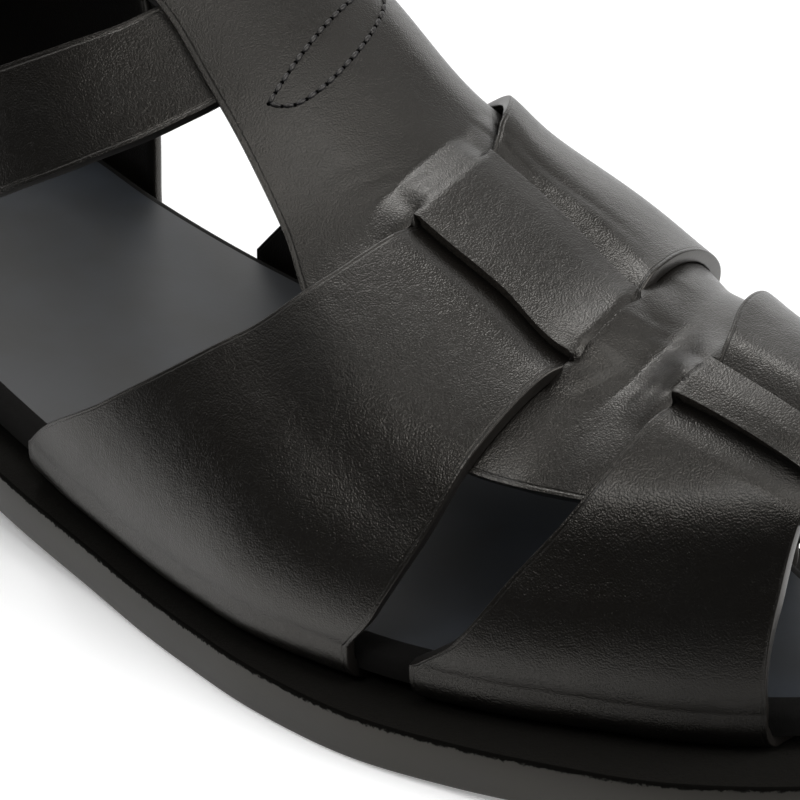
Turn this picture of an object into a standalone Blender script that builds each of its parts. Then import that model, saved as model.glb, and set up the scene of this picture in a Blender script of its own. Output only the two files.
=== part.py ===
"""A right-foot fisherman sandal, made of leather straps over a shaped last. Sizes are in millimetres here and
the meshes are in metres: X runs from heel to toe, Y to the inner (big toe) side, Z up, with the floor at 0.
Stations x start at the back of the heel, and the meshes are moved so that the object stands over the origin."""

import math

import bmesh
import bpy
import numpy as np

# The middle of the sole's box, in stations, which becomes the origin.
MIDDLE = (144.0, -2.3, 0.0)

# Thicknesses and clearances.
LEATHER = 2.2
COUNTER = 2.0
ANKLE = 2.0
SOLE_THICK = 8.0
BED_THICK = 8.0
GAP = 0.3
SIDE_GAP = 0.45
TAIL = 9.0
TURN = 0.35

# Sole outline: station x, outer side y, inner side y.
SOLE = np.array([
    (2.0, -11.0, 11.0), (8.0, -21.0, 21.0), (20.0, -29.5, 29.0), (40.0, -34.5, 33.0), (62.0, -36.5, 33.0),
    (85.0, -38.0, 31.5), (108.0, -41.0, 31.8), (129.0, -44.1, 34.0), (157.0, -46.2, 39.0),
    (180.0, -48.0, 42.6), (197.0, -48.4, 43.8), (217.0, -45.9, 42.0), (233.0, -40.8, 37.5),
    (248.0, -34.6, 32.8), (262.0, -28.1, 27.9), (274.0, -20.0, 22.3), (282.0, -12.8, 16.6),
    (286.8, -5.6, 10.4)])
HEEL_BACK = (0.0, 0.0)
TOE_TIP = (288.5, 2.4)
# How far the footbed stands in from the sole's edge: station x, outer side, inner side.
INSET = np.array([
    (0.0, 5.0, 5.0), (60.0, 5.0, 5.0), (110.0, 5.2, 4.8), (130.0, 5.6, 5.0), (150.0, 4.6, 5.2),
    (185.0, 5.0, 6.0), (215.0, 8.0, 7.5), (235.0, 9.0, 9.2), (262.0, 10.5, 10.0), (290.0, 10.0, 10.0)])
# Height of the sole's upper face: station x, z. The forefoot is flat, the toe springs up and
# the heel is raised.
TOP = np.array([
    (0.0, 16.2), (66.0, 15.4), (85.0, 14.0), (118.0, 11.6), (150.0, 9.2), (172.0, 8.0), (208.0, 8.0),
    (228.0, 8.6), (250.0, 9.9), (275.0, 12.6), (292.0, 15.2)])
# The last: station x, ridge y, ridge height over the footbed, outer flare in degrees, outer handle up,
# outer handle across, inner flare, inner handle up, inner handle across.
LAST = np.array([
    (40.0, 0.0, 104.0, 3.0, 0.55, 0.45, 3.0, 0.55, 0.45), (60.0, 1.0, 98.0, 4.0, 0.55, 0.45, 3.0, 0.55, 0.45),
    (95.0, 4.0, 88.0, 5.0, 0.52, 0.45, 4.0, 0.55, 0.45), (120.0, 8.0, 78.0, 7.0, 0.50, 0.48, 5.0, 0.55, 0.50),
    (140.0, 12.0, 68.0, 9.0, 0.48, 0.48, 6.0, 0.58, 0.55), (160.0, 15.0, 59.3, 10.0, 0.46, 0.50, 7.0, 0.60, 0.60),
    (180.0, 17.0, 51.8, 12.0, 0.45, 0.50, 8.0, 0.62, 0.65), (200.0, 17.0, 46.8, 13.0, 0.45, 0.50, 9.0, 0.65, 0.70),
    (220.0, 16.0, 43.2, 14.0, 0.46, 0.50, 9.0, 0.65, 0.70), (240.0, 14.0, 42.4, 14.0, 0.48, 0.50, 9.0, 0.65, 0.68),
    (262.0, 10.0, 40.6, 13.0, 0.50, 0.52, 8.0, 0.60, 0.62), (280.0, 6.0, 37.0, 10.0, 0.50, 0.55, 8.0, 0.55, 0.60)])
# Strap edges, as station x at girth v. Girth is 0 at the footbed's outer edge, 0.5 on the ridge and
# 1 at its inner edge.
REAR_STRAP_BACK = np.array([
    (0.0, 134.0), (0.032, 140.0), (0.095, 155.0), (0.18, 170.0), (0.264, 180.5), (0.319, 184.0), (0.381, 186.0),
    (0.47, 184.5), (0.51, 179.5), (0.60, 168.0), (0.75, 147.0), (0.90, 124.0), (1.0, 110.0)])
REAR_STRAP_FRONT = np.array([
    (0.0, 211.0), (0.041, 215.5), (0.136, 219.8), (0.202, 221.0), (0.277, 222.0), (0.353, 223.5), (0.447, 222.0),
    (0.50, 220.0), (0.65, 214.0), (0.80, 206.0), (1.0, 194.0)])
FRONT_STRAP_BACK = np.array([
    (0.0, 221.0), (0.04, 228.0), (0.137, 235.0), (0.221, 239.6), (0.303, 241.8), (0.369, 242.8), (0.415, 243.2),
    (0.446, 242.0), (0.49, 238.0), (0.65, 228.0), (0.80, 219.0), (1.0, 209.0)])
FRONT_STRAP_FRONT = np.array([
    (0.0, 269.0), (0.30, 270.0), (0.38, 269.0), (0.43, 267.0), (0.50, 263.0), (0.65, 256.0), (0.80, 248.0),
    (1.0, 238.0)])
SPINE_BACK = np.array([
    (0.30, 122.0), (0.36, 124.5), (0.39, 126.5), (0.44, 128.0), (0.49, 125.0), (0.53, 120.0), (0.57, 113.0),
    (0.64, 104.0)])
# Spine strap lines, as girth v at station x: outer edge, the two slits, inner edge.
SPINE_OUTER = np.array([
    (105.0, 0.402), (130.0, 0.389), (148.0, 0.357), (170.0, 0.303), (181.0, 0.264), (200.0, 0.225),
    (221.0, 0.202), (230.0, 0.209), (240.0, 0.221), (255.0, 0.262), (266.0, 0.298), (280.0, 0.335)])
OUTER_SLIT = np.array([
    (105.0, 0.43), (150.0, 0.405), (186.0, 0.380), (205.0, 0.369), (224.0, 0.348), (234.0, 0.354),
    (244.0, 0.362), (267.0, 0.369), (280.0, 0.374)])
INNER_SLIT = np.array([
    (105.0, 0.52), (150.0, 0.50), (183.0, 0.478), (193.0, 0.475), (207.0, 0.463), (222.0, 0.446),
    (234.0, 0.428), (244.0, 0.416), (262.0, 0.420), (280.0, 0.424)])
SPINE_INNER = np.array([
    (105.0, 0.558), (130.0, 0.565), (148.0, 0.582), (170.0, 0.622), (190.0, 0.655), (221.0, 0.668),
    (239.0, 0.645), (255.0, 0.59), (268.0, 0.515), (280.0, 0.475)])
# Ankle strap, centre line: station x, girth v. It runs from the outer heel, over the instep, to
# the inner heel.
ANKLE_LINE = np.array([
    (50.0, 0.094), (62.0, 0.100), (74.0, 0.110), (86.0, 0.128), (97.0, 0.154), (108.0, 0.190), (119.0, 0.234),
    (130.0, 0.288), (138.0, 0.343), (141.5, 0.390), (142.0, 0.440), (139.0, 0.490), (133.0, 0.545),
    (123.0, 0.610), (110.0, 0.680), (95.0, 0.745), (78.0, 0.800), (62.0, 0.840), (50.0, 0.860)])
ANKLE_HALF_WIDTH = 10.0
ANKLE_OFF = 2.3
LOOP_TOP = 6.6
# Heel counter top edge height over the footbed, by place along it from outer front to inner front.
COUNTER_TOP = np.array([
    (0.0, 40.0), (0.15, 45.0), (0.35, 54.0), (0.5, 58.0), (0.65, 54.0), (0.85, 46.0), (1.0, 42.0)])
COUNTER_FRONT_OUTER = 88.0
COUNTER_FRONT_INNER = 82.0
# Ahead of this station the spine's tongue keeps the last's section and only dips.
LAST_END = 269.5
# How far the back of the counter stands behind the footbed's edge, by height over the footbed.
HEEL_CURVE = np.array([(0.0, 0.0), (8.0, 2.0), (18.0, 3.0), (32.0, 1.0), (46.0, -3.0), (60.0, -6.0)])


def table(rows, x, column=1):
    """Smooth monotone curve through one column of a short table."""
    xs = rows[:, 0]
    ys = rows[:, column]
    h = np.diff(xs)
    d = np.diff(ys) / h
    m = np.zeros_like(ys)
    for i in range(1, len(xs) - 1):
        if d[i - 1] * d[i] > 0:
            w1 = 2 * h[i] + h[i - 1]
            w2 = h[i] + 2 * h[i - 1]
            m[i] = (w1 + w2) / (w1 / d[i - 1] + w2 / d[i])
    m[0] = d[0]
    m[-1] = d[-1]
    x = np.asarray(x, float)
    i = np.clip(np.searchsorted(xs, x) - 1, 0, len(xs) - 2)
    t = np.clip((x - xs[i]) / h[i], -0.5, 1.5)
    a = (2 * t**3 - 3 * t**2 + 1) * ys[i] + (t**3 - 2 * t**2 + t) * h[i] * m[i]
    b = (3 * t**2 - 2 * t**3) * ys[i + 1] + (t**3 - t**2) * h[i] * m[i + 1]
    return a + b


def closed_curve(points, steps):
    """Centripetal Catmull-Rom curve through a closed ring of points."""
    pts = np.asarray(points, float)
    n = len(pts)
    out = []
    for i in range(n):
        p0, p1, p2, p3 = pts[i - 1], pts[i], pts[(i + 1) % n], pts[(i + 2) % n]
        t0 = 0.0
        t1 = t0 + np.linalg.norm(p1 - p0)**0.5
        t2 = t1 + np.linalg.norm(p2 - p1)**0.5
        t3 = t2 + np.linalg.norm(p3 - p2)**0.5
        for k in range(steps):
            t = t1 + (t2 - t1) * k / steps
            a1 = (t1 - t) / (t1 - t0) * p0 + (t - t0) / (t1 - t0) * p1
            a2 = (t2 - t) / (t2 - t1) * p1 + (t - t1) / (t2 - t1) * p2
            a3 = (t3 - t) / (t3 - t2) * p2 + (t - t2) / (t3 - t2) * p3
            b1 = (t2 - t) / (t2 - t0) * a1 + (t - t0) / (t2 - t0) * a2
            b2 = (t3 - t) / (t3 - t1) * a2 + (t - t1) / (t3 - t1) * a3
            out.append((t2 - t) / (t2 - t1) * b1 + (t - t1) / (t2 - t1) * b2)
    return np.array(out)


def ring_normals(ring):
    """Outward unit normals of a counter-clockwise ring."""
    d = np.roll(ring, -1, axis=0) - np.roll(ring, 1, axis=0)
    n = np.stack([d[:, 1], -d[:, 0]], axis=1)
    return n / np.linalg.norm(n, axis=1)[:, None]


def sole_ring(steps):
    """Sole outline, counter-clockwise seen from above, starting at the back of the heel on the outer side."""
    outer = [(x, yo) for x, yo, yi in SOLE]
    inner = [(x, yi) for x, yo, yi in SOLE[::-1]]
    return closed_curve([HEEL_BACK] + outer + [TOE_TIP] + inner, steps)


SOLE_FINE = sole_ring(8)
SIDE_INSET = np.where(
    SOLE_FINE[:, 1] < 0, table(INSET, SOLE_FINE[:, 0], 1), table(INSET, SOLE_FINE[:, 0], 2))
BED_FINE = SOLE_FINE - ring_normals(SOLE_FINE) * SIDE_INSET[:, None]
HALF = len(SOLE_FINE) // 2
BED_OUTER = BED_FINE[:HALF + 1]
BED_INNER = BED_FINE[HALF:][::-1]


def bed_outer(x):
    return float(np.interp(x, BED_OUTER[:, 0], BED_OUTER[:, 1]))


def bed_inner(x):
    return float(np.interp(x, BED_INNER[:, 0], BED_INNER[:, 1]))


def bezier(a, b, c, d, t):
    return (1 - t)**3 * a + 3 * (1 - t)**2 * t * b + 3 * (1 - t) * t**2 * c + t**3 * d


SECTIONS = {}
# Girth values along a tail, from its end under the footbed to just below the footbed's edge.
TAILS = (-1.0, -0.40, -0.33, -0.27, -0.20, -0.10)


def section(x):
    """The inside line of the straps at one station, as girth values with their y and z.
    Girth runs -1..0 along the outer tail under the footbed, 0..1 over the foot, 1..2 along the inner tail."""
    key = round(float(x), 4)
    if key in SECTIONS:
        return SECTIONS[key]
    ahead = max(x - LAST_END, 0.0)
    x = min(x, LAST_END)
    row = [float(table(LAST, x, k)) for k in range(1, 9)]
    ridge_y, high, flare_o, up_o, across_o, flare_i, up_i, across_i = row
    yo = bed_outer(x) - SIDE_GAP
    yi = bed_inner(x) + SIDE_GAP
    zs = float(table(TOP, x))
    zf = zs + BED_THICK
    ridge = np.array([ridge_y, zf + high])
    t = np.linspace(0, 1, 33)[:, None]
    a = np.array([yo, zf])
    b = np.array([yi, zf])
    fo = math.radians(flare_o)
    fi = math.radians(flare_i)
    rise_o = a + up_o * high * np.array([-math.sin(fo), math.cos(fo)])
    rise_i = b + up_i * high * np.array([math.sin(fi), math.cos(fi)])
    outer = bezier(a, rise_o, ridge - np.array([across_o * (ridge_y - yo), 0]), ridge, t)
    inner = bezier(ridge, ridge + np.array([across_i * (yi - ridge_y), 0]), rise_i, b, t)
    floor = zs + GAP + LEATHER
    arc = np.radians(np.linspace(0, 90, 4))
    vs = [-1.0]
    tail_o = [(yo + TAIL, floor)]
    tail_i = [(yi - TAIL, floor)]
    for k, ang in enumerate(arc):
        tail_o.append((yo + TURN - TURN * math.sin(ang), floor + TURN - TURN * math.cos(ang)))
        tail_i.append((yi - TURN + TURN * math.sin(ang), floor + TURN - TURN * math.cos(ang)))
        vs.append(TAILS[k + 1])
    tail_o.append((yo, (floor + TURN + zf) / 2))
    tail_i.append((yi, (floor + TURN + zf) / 2))
    vs.append(-0.10)
    len_o = np.r_[0, np.cumsum(np.hypot(*np.diff(outer, axis=0).T))]
    len_i = np.r_[0, np.cumsum(np.hypot(*np.diff(inner, axis=0).T))]
    girth = np.r_[vs, 0.5 * len_o / len_o[-1], 0.5 + 0.5 * len_i[1:] / len_i[-1], 1.0 - np.array(vs[::-1])]
    line = np.vstack([tail_o, outer, inner[1:], tail_i[::-1]]) - (0.2 * ahead, 0.28 * ahead + 0.015 * ahead**2)
    SECTIONS[key] = (girth, line[:, 0], line[:, 1], len_o[-1], len_i[-1])
    return SECTIONS[key]


def inside(x, v):
    """Point of the last at station x and girth v."""
    girth, ys, zs, lo, li = section(x)
    return np.array([x, np.interp(v, girth, ys), np.interp(v, girth, zs)])


def outward(x, v):
    """Unit normal of the last, away from the foot."""
    dx = inside(x + 0.8, v) - inside(x - 0.8, v)
    e = 0.012 if 0 <= v <= 1 else 0.03
    dv = inside(x, v + e) - inside(x, v - e)
    n = np.cross(dv, dx)
    return -n / np.linalg.norm(n)


def face_out(bm):
    """Turns every face of a closed mesh outwards."""
    bmesh.ops.recalc_face_normals(bm, faces=bm.faces)
    if bm.calc_volume(signed=True) < 0:
        bmesh.ops.reverse_faces(bm, faces=bm.faces)


def add_mesh(name, verts, faces):
    """Makes an object from millimetre vertices and faces."""
    mesh = bpy.data.meshes.new(name)
    placed = (np.array(verts, float) - MIDDLE) * 0.001
    mesh.from_pydata([tuple(p) for p in placed.tolist()], [], [tuple(f) for f in faces])
    mesh.validate()
    obj = bpy.data.objects.new(name, mesh)
    sandal.objects.link(obj)
    bm = bmesh.new()
    bm.from_mesh(mesh)
    face_out(bm)
    bm.to_mesh(mesh)
    bm.free()
    return obj


def wall(name, outer, inner, keep):
    """A closed wall between two grids of points, over the kept cells only."""
    ni, nj = outer.shape[:2]
    index = {}
    verts = []
    faces = []

    def node(layer, i, j):
        if (layer, i, j) not in index:
            index[(layer, i, j)] = len(verts)
            verts.append((outer if layer else inner)[i, j])
        return index[(layer, i, j)]

    for i in range(ni - 1):
        for j in range(nj - 1):
            if not keep[i, j]:
                continue
            corner = [(i, j), (i + 1, j), (i + 1, j + 1), (i, j + 1)]
            a, b, c, d = [node(1, *p) for p in corner]
            faces += [(a, b, c), (a, c, d)]
            a, b, c, d = [node(0, *p) for p in corner]
            faces += [(a, c, b), (a, d, c)]
            sides = [((i, j), (i + 1, j), i, j - 1), ((i + 1, j), (i + 1, j + 1), i + 1, j),
                     ((i + 1, j + 1), (i, j + 1), i, j + 1), ((i, j + 1), (i, j), i - 1, j)]
            for p, q, ci, cj in sides:
                if 0 <= ci < ni - 1 and 0 <= cj < nj - 1 and keep[ci, cj]:
                    continue
                faces += [(node(1, *q), node(1, *p), node(0, *p)), (node(1, *q), node(0, *p), node(0, *q))]
    return add_mesh(name, verts, faces)


def prism(name, ring, z_low, z_high, bevel_low=0.0, bevel_high=0.0, steps_high=1):
    """A slab over a plan outline, with its lower and upper faces following height functions of x."""
    ring = np.asarray(ring)
    normals = ring_normals(ring)
    layers = []
    if bevel_low:
        layers.append((-bevel_low, 0, 0.0))
        layers.append((0.0, 0, bevel_low))
    else:
        layers.append((0.0, 0, 0.0))
    if bevel_high:
        for k in range(steps_high + 1):
            ang = math.pi / 2 * k / steps_high
            layers.append((-bevel_high * (1 - math.cos(ang)), 1, -bevel_high * (1 - math.sin(ang))))
    else:
        layers.append((0.0, 1, 0.0))
    verts = []
    for inset, high, dz in layers:
        pts = ring + normals * inset
        zs = z_high(ring[:, 0]) if high else z_low(ring[:, 0])
        verts += [(p[0], p[1], z + dz) for p, z in zip(pts, zs)]
    n = len(ring)
    faces = []
    for k in range(len(layers) - 1):
        for i in range(n):
            j = (i + 1) % n
            faces.append((k * n + i, k * n + j, (k + 1) * n + j, (k + 1) * n + i))
    half = n // 2
    last = (len(layers) - 1) * n
    for i in range(half):
        a, b = i, i + 1
        c, d = (n - 1 - i) % n, (n - i) % n
        if a == d:
            faces.append((c, b, a))
            faces.append((last + a, last + b, last + c))
        elif b == c:
            faces.append((d, b, a))
            faces.append((last + a, last + b, last + d))
        else:
            faces.append((d, c, b, a))
            faces.append((last + a, last + b, last + c, last + d))
    obj = add_mesh(name, verts, faces)
    bm = bmesh.new()
    bm.from_mesh(obj.data)
    bmesh.ops.triangulate(bm, faces=[f for f in bm.faces if len(f.verts) > 3], quad_method="BEAUTY")
    face_out(bm)
    bm.to_mesh(obj.data)
    bm.free()
    return obj


def cut(obj, cutter):
    """Subtracts a cutter and removes it."""
    mod = obj.modifiers.new("cut", "BOOLEAN")
    mod.operation = "DIFFERENCE"
    mod.solver = "EXACT"
    mod.object = cutter
    bpy.context.view_layer.objects.active = obj
    bpy.ops.object.modifier_apply(modifier=mod.name)
    bpy.data.objects.remove(cutter, do_unlink=True)


def smooth(t):
    t = np.clip(t, 0.0, 1.0)
    return t * t * (3 - 2 * t)


for old in list(bpy.data.objects):
    bpy.data.objects.remove(old, do_unlink=True)
sandal = bpy.data.collections.new("fisherman_sandal")
bpy.context.scene.collection.children.link(sandal)

# Outsole: even thickness, flat under the forefoot, toe spring, raised waist.
COARSE = SOLE_FINE[::2]
prism("outsole", COARSE, lambda x: np.maximum(table(TOP, x) - SOLE_THICK, 0.0), lambda x: table(TOP, x), 0.8, 0.5)

# Heel: a low stacked block and its rubber lift, under the back of the sole.
HEEL_FRONT = 68.0
heel_outer = [p for p in SOLE_FINE[:HALF:2] if p[0] < HEEL_FRONT - 3]
heel_inner = [p for p in SOLE_FINE[HALF:][::2] if p[0] < HEEL_FRONT - 3]
breast = [(HEEL_FRONT, -36.6), (HEEL_FRONT - 3.5, -18.0), (HEEL_FRONT - 5.0, -1.5),
          (HEEL_FRONT - 3.5, 15.0), (HEEL_FRONT, 32.7)]
heel_ring = np.array([tuple(p) for p in heel_outer] + breast + [tuple(p) for p in heel_inner])
LIFT = 3.0
prism("heel_block", heel_ring, lambda x: np.full_like(x, LIFT + 0.25),
      lambda x: table(TOP, x) - SOLE_THICK - 0.25)
prism("heel_lift", heel_ring, lambda x: np.zeros_like(x), lambda x: np.full_like(x, LIFT), 0.5)

# Footbed: a soft-edged slab on the sole, with pockets below for the strap tails.
bed_ring = BED_FINE[::3]
footbed = prism("footbed", bed_ring, lambda x: table(TOP, x) + 0.25, lambda x: table(TOP, x) + BED_THICK, 0.0, 3.0, 3)


def strap_pocket(x_from, x_to, side):
    """Cutter for the ledge that holds one strap's tail, along one side of the footbed."""
    xs = np.linspace(x_from - 0.5, x_to + 0.5, 14)
    sign = -1 if side == "outer" else 1
    edge = [bed_outer(x) if side == "outer" else bed_inner(x) for x in xs]
    verts = []
    for x, y in zip(xs, edge):
        z = float(table(TOP, x))
        for dy in (3.0, -(TAIL + 0.2)):
            verts.append((x, y + sign * dy, z - 1.5))
            verts.append((x, y + sign * dy, z + 2 * GAP + LEATHER))
    faces = []
    n = len(xs)
    for i in range(n - 1):
        a = 4 * i
        b = a + 4
        faces += [(a, b, b + 1, a + 1), (a + 1, b + 1, b + 3, a + 3)]
        faces += [(a + 3, b + 3, b + 2, a + 2), (a + 2, b + 2, b, a)]
    faces += [(0, 1, 3, 2), (4 * n - 4, 4 * n - 2, 4 * n - 1, 4 * n - 3)]
    return add_mesh("pocket", verts, faces)


# Upper: the spine strap and the two cross straps, woven, as one wall with its strips raised.
def lines_between(table_a, table_b, share):
    return lambda v: (1 - share) * float(table(table_a, v)) + share * float(table(table_b, v))


def line_at(rows, shift):
    return lambda v: float(table(rows, v)) + shift


def spine_end(v):
    return 277.0 - 260.0 * (v - 0.40)**2


rows = [line_at(SPINE_BACK, 0.0)]
rows += [lines_between(SPINE_BACK, REAR_STRAP_BACK, s)
         for s in (0.07, 0.16, 0.26, 0.35, 0.44, 0.54, 0.64, 0.74, 0.83)]
rows += [line_at(REAR_STRAP_BACK, s) for s in (-6.0, -3.0, -1.2, -0.15, 0.15)]
first_rear = len(rows) - 1
rows += [lines_between(REAR_STRAP_BACK, REAR_STRAP_FRONT, s) for s in (0.08, 0.2, 0.35, 0.5, 0.65, 0.8, 0.92)]
rows += [line_at(REAR_STRAP_FRONT, -0.15)]
last_rear = len(rows) - 1
rows += [line_at(REAR_STRAP_FRONT, s) for s in (0.15, 1.5, 4.5)]
rows += [lines_between(REAR_STRAP_FRONT, FRONT_STRAP_BACK, 0.5)]
rows += [line_at(FRONT_STRAP_BACK, s) for s in (-4.5, -1.5, -0.15, 0.15)]
first_front = len(rows) - 1
rows += [lines_between(FRONT_STRAP_BACK, FRONT_STRAP_FRONT, s) for s in (0.1, 0.3, 0.5, 0.7, 0.9)]
rows += [line_at(FRONT_STRAP_FRONT, -0.15)]
last_front = len(rows) - 1
rows += [line_at(FRONT_STRAP_FRONT, s) for s in (0.15, 1.5)]
rows += [spine_end]

STEP = 0.0012
columns = [lambda x, c=c: c for c in TAILS]
columns += [lambda x, s=s: s * float(table(SPINE_OUTER, x)) for s in (0.0, 0.12, 0.26, 0.42, 0.58, 0.74, 0.88)]
columns += [lambda x, s=s: float(table(SPINE_OUTER, x)) + s for s in (-STEP, STEP)]
first_spine = len(columns) - 1
columns += [lambda x, s=s: (1 - s) * float(table(SPINE_OUTER, x)) + s * float(table(OUTER_SLIT, x))
            for s in (0.2, 0.45, 0.7, 0.88)]
columns += [lambda x, s=s: float(table(OUTER_SLIT, x)) + s for s in (-STEP, STEP)]
first_mid = len(columns) - 1
columns += [lambda x, s=s: (1 - s) * float(table(OUTER_SLIT, x)) + s * float(table(INNER_SLIT, x))
            for s in (0.33, 0.67)]
columns += [lambda x, s=s: float(table(INNER_SLIT, x)) + s for s in (-STEP, STEP)]
last_mid = len(columns) - 2
columns += [lambda x, s=s: (1 - s) * float(table(INNER_SLIT, x)) + s * float(table(SPINE_INNER, x))
            for s in (0.15, 0.35, 0.6, 0.82)]
columns += [lambda x, s=s: float(table(SPINE_INNER, x)) + s for s in (-STEP, STEP)]
last_spine = len(columns) - 2
columns += [lambda x, s=s: (1 - s) * float(table(SPINE_INNER, x)) + s for s in (0.15, 0.32, 0.5, 0.68, 0.84, 1.0)]
columns += [lambda x, c=c: 1.0 - c for c in TAILS[::-1]]

ni = len(rows)
nj = len(columns)
place = np.zeros((ni, nj, 2))
for i in range(ni):
    for j in range(nj):
        x, v = 200.0, 0.45
        for turn in range(40):
            x = 0.5 * x + 0.5 * rows[i](min(max(v, 0.0), 1.0))
            v = 0.5 * v + 0.5 * columns[j](min(max(x, 105.0), 280.0))
        for turn in range(3):
            x = rows[i](min(max(v, 0.0), 1.0))
            v = columns[j](min(max(x, 105.0), 280.0))
        place[i, j] = (x, v)

keep = np.zeros((ni - 1, nj - 1), bool)
for i in range(ni - 1):
    for j in range(nj - 1):
        in_spine = first_spine <= j < last_spine
        in_strap = first_rear <= i < last_rear or first_front <= i < last_front
        keep[i, j] = in_spine or in_strap

# The lower edge of the ankle strap where it passes below the spine, as station x at girth v.
ANKLE_FRONT = np.array([
    (0.30, 147.0), (0.36, 150.5), (0.39, 152.0), (0.44, 152.5), (0.49, 149.5), (0.53, 144.5), (0.57, 138.0),
    (0.64, 128.0)])


def girth_mm(x, v):
    """Millimetres of girth per unit of v at a place on the last."""
    girth, ys, zs, lo, li = section(x)
    return 2 * (lo if v < 0.5 else li)


def level(i, j):
    """Height of the upper's outer face over the last at one node."""
    x, v = place[i, j]
    mm = girth_mm(x, v)
    in_spine = first_spine <= j <= last_spine
    in_mid = first_mid <= j <= last_mid
    in_strap = first_rear <= i <= last_rear or first_front <= i <= last_front
    to_slit = min(abs(v - float(table(OUTER_SLIT, x))), abs(v - float(table(INNER_SLIT, x)))) * mm
    if in_strap and in_mid:
        return 2 * LEATHER + 0.35
    if in_strap and in_spine:
        return 2 * LEATHER - 0.75 * LEATHER * (1 - smooth(to_slit / 5.0))
    if in_strap:
        edge = SPINE_OUTER if v < 0.45 else SPINE_INNER
        away = abs(v - float(table(edge, x))) * mm
        return LEATHER + LEATHER * (1 - smooth(away / 9.0))
    edges = [REAR_STRAP_BACK, REAR_STRAP_FRONT, FRONT_STRAP_BACK, FRONT_STRAP_FRONT]
    to_strap = min(abs(x - float(table(e, v))) for e in edges)
    if in_mid:
        across = 0.5 + 0.5 * smooth(to_slit / 3.0)
    else:
        across = 0.5 - 0.5 * smooth(to_slit / 3.0)
    raised = LEATHER + LEATHER * across * (1 - smooth(to_strap / 8.0))
    back = x - float(table(ANKLE_FRONT, min(max(v, 0.30), 0.64)))
    loop = LEATHER + (LOOP_TOP - LEATHER) * (1 - smooth((back - 2.0) / 13.0))
    return max(raised, loop)


outer = np.zeros((ni, nj, 3))
inner = np.zeros((ni, nj, 3))
for i in range(ni):
    for j in range(nj):
        used = keep[max(i - 1, 0):i + 1, max(j - 1, 0):j + 1].any()
        if used:
            x, v = place[i, j]
            p = inside(x, v)
            outer[i, j] = p + outward(x, v) * level(i, j)
            inner[i, j] = p
upper = wall("upper", outer, inner, keep)


# Ankle strap: a ribbon laid over the last along its centre line.
steps = []
for x, v in ANKLE_LINE:
    steps.append(inside(x, v))
LENGTHS = np.r_[0, np.cumsum(np.linalg.norm(np.diff(np.array(steps), axis=0), axis=1))]
CENTRE = np.column_stack([LENGTHS, ANKLE_LINE])
FULL = LENGTHS[-1]


def ribbon(s, w, off):
    """Point at distance s along the ankle line, w across it and off above the last."""
    x = float(table(CENTRE, s, 1))
    v = float(table(CENTRE, s, 2))
    x2 = float(table(CENTRE, s + 0.5, 1))
    v2 = float(table(CENTRE, s + 0.5, 2))
    n = outward(x, v)
    along = inside(x2, v2) - inside(x, v)
    across = np.cross(n, along)
    across = across / np.linalg.norm(across) * w
    px = inside(x + 0.5, v) - inside(x - 0.5, v)
    pv = (inside(x, v + 0.005) - inside(x, v - 0.005)) / 0.01
    fit = np.linalg.lstsq(np.column_stack([px, pv]), across, rcond=None)[0]
    x3 = x + fit[0]
    v3 = v + fit[1]
    return inside(x3, v3) + outward(x3, v3) * off


def band(name, path, half_width, thick, across_steps=3):
    """A strap along the ankle line: path rows are distance s, height off, over which it lies."""
    ws = np.linspace(-half_width, half_width, across_steps)
    path = np.asarray(path, float)
    d = np.gradient(path, axis=0)
    normal = np.stack([-d[:, 1], d[:, 0]], axis=1)
    normal /= np.linalg.norm(normal, axis=1)[:, None]
    top = path + normal * thick
    low = np.array([[ribbon(s, w, o) for w in ws] for s, o in path])
    high = np.array([[ribbon(s, w, o) for w in ws] for s, o in top])
    return wall(name, high, low, np.ones((len(path) - 1, across_steps - 1), bool))


# Distances along the ankle line. The buckle's rear bar is at BAR; smaller s is toward the back of the heel.
BAR = 34.0
FRONT_BAR = BAR + 15.0
BAR_HIGH = 6.1
BAR_R = 1.2
strap_path = [
    (BAR - 30, 6.2), (BAR - 24, 6.2), (BAR - 17, 6.3), (BAR - 11, 7.0), (BAR - 6, 8.6), (BAR - 2, 9.7),
    (BAR + 1.5, 9.8), (BAR + 4.0, 8.9), (BAR + 6.5, 6.9), (BAR + 9.0, 4.5), (BAR + 11.5, 2.8),
    (BAR + 14.0, ANKLE_OFF), (BAR + 17.0, ANKLE_OFF)]
INSTEP = float(np.interp(9, range(len(LENGTHS)), LENGTHS))
RUN = 5.0
first = math.ceil((BAR + 21.0 - INSTEP) / RUN)
last = math.floor((FULL - 10.0 - INSTEP) / RUN)
strap_path += [(INSTEP + RUN * k, ANKLE_OFF) for k in range(first, last + 1)]
ankle = band("ankle_strap", strap_path, ANKLE_HALF_WIDTH, ANKLE, 4)

# The slot through the spine's turned-over end, for the ankle strap.
slot_path = [(INSTEP + RUN * k, 1.9) for k in range(-8, 10)]
cut(upper, band("slot", slot_path, ANKLE_HALF_WIDTH + 0.5, 2.8, 4))

# Buckle: a rectangular frame of round wire, its prong, the leather tab that holds it and the keeper loop.


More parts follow.
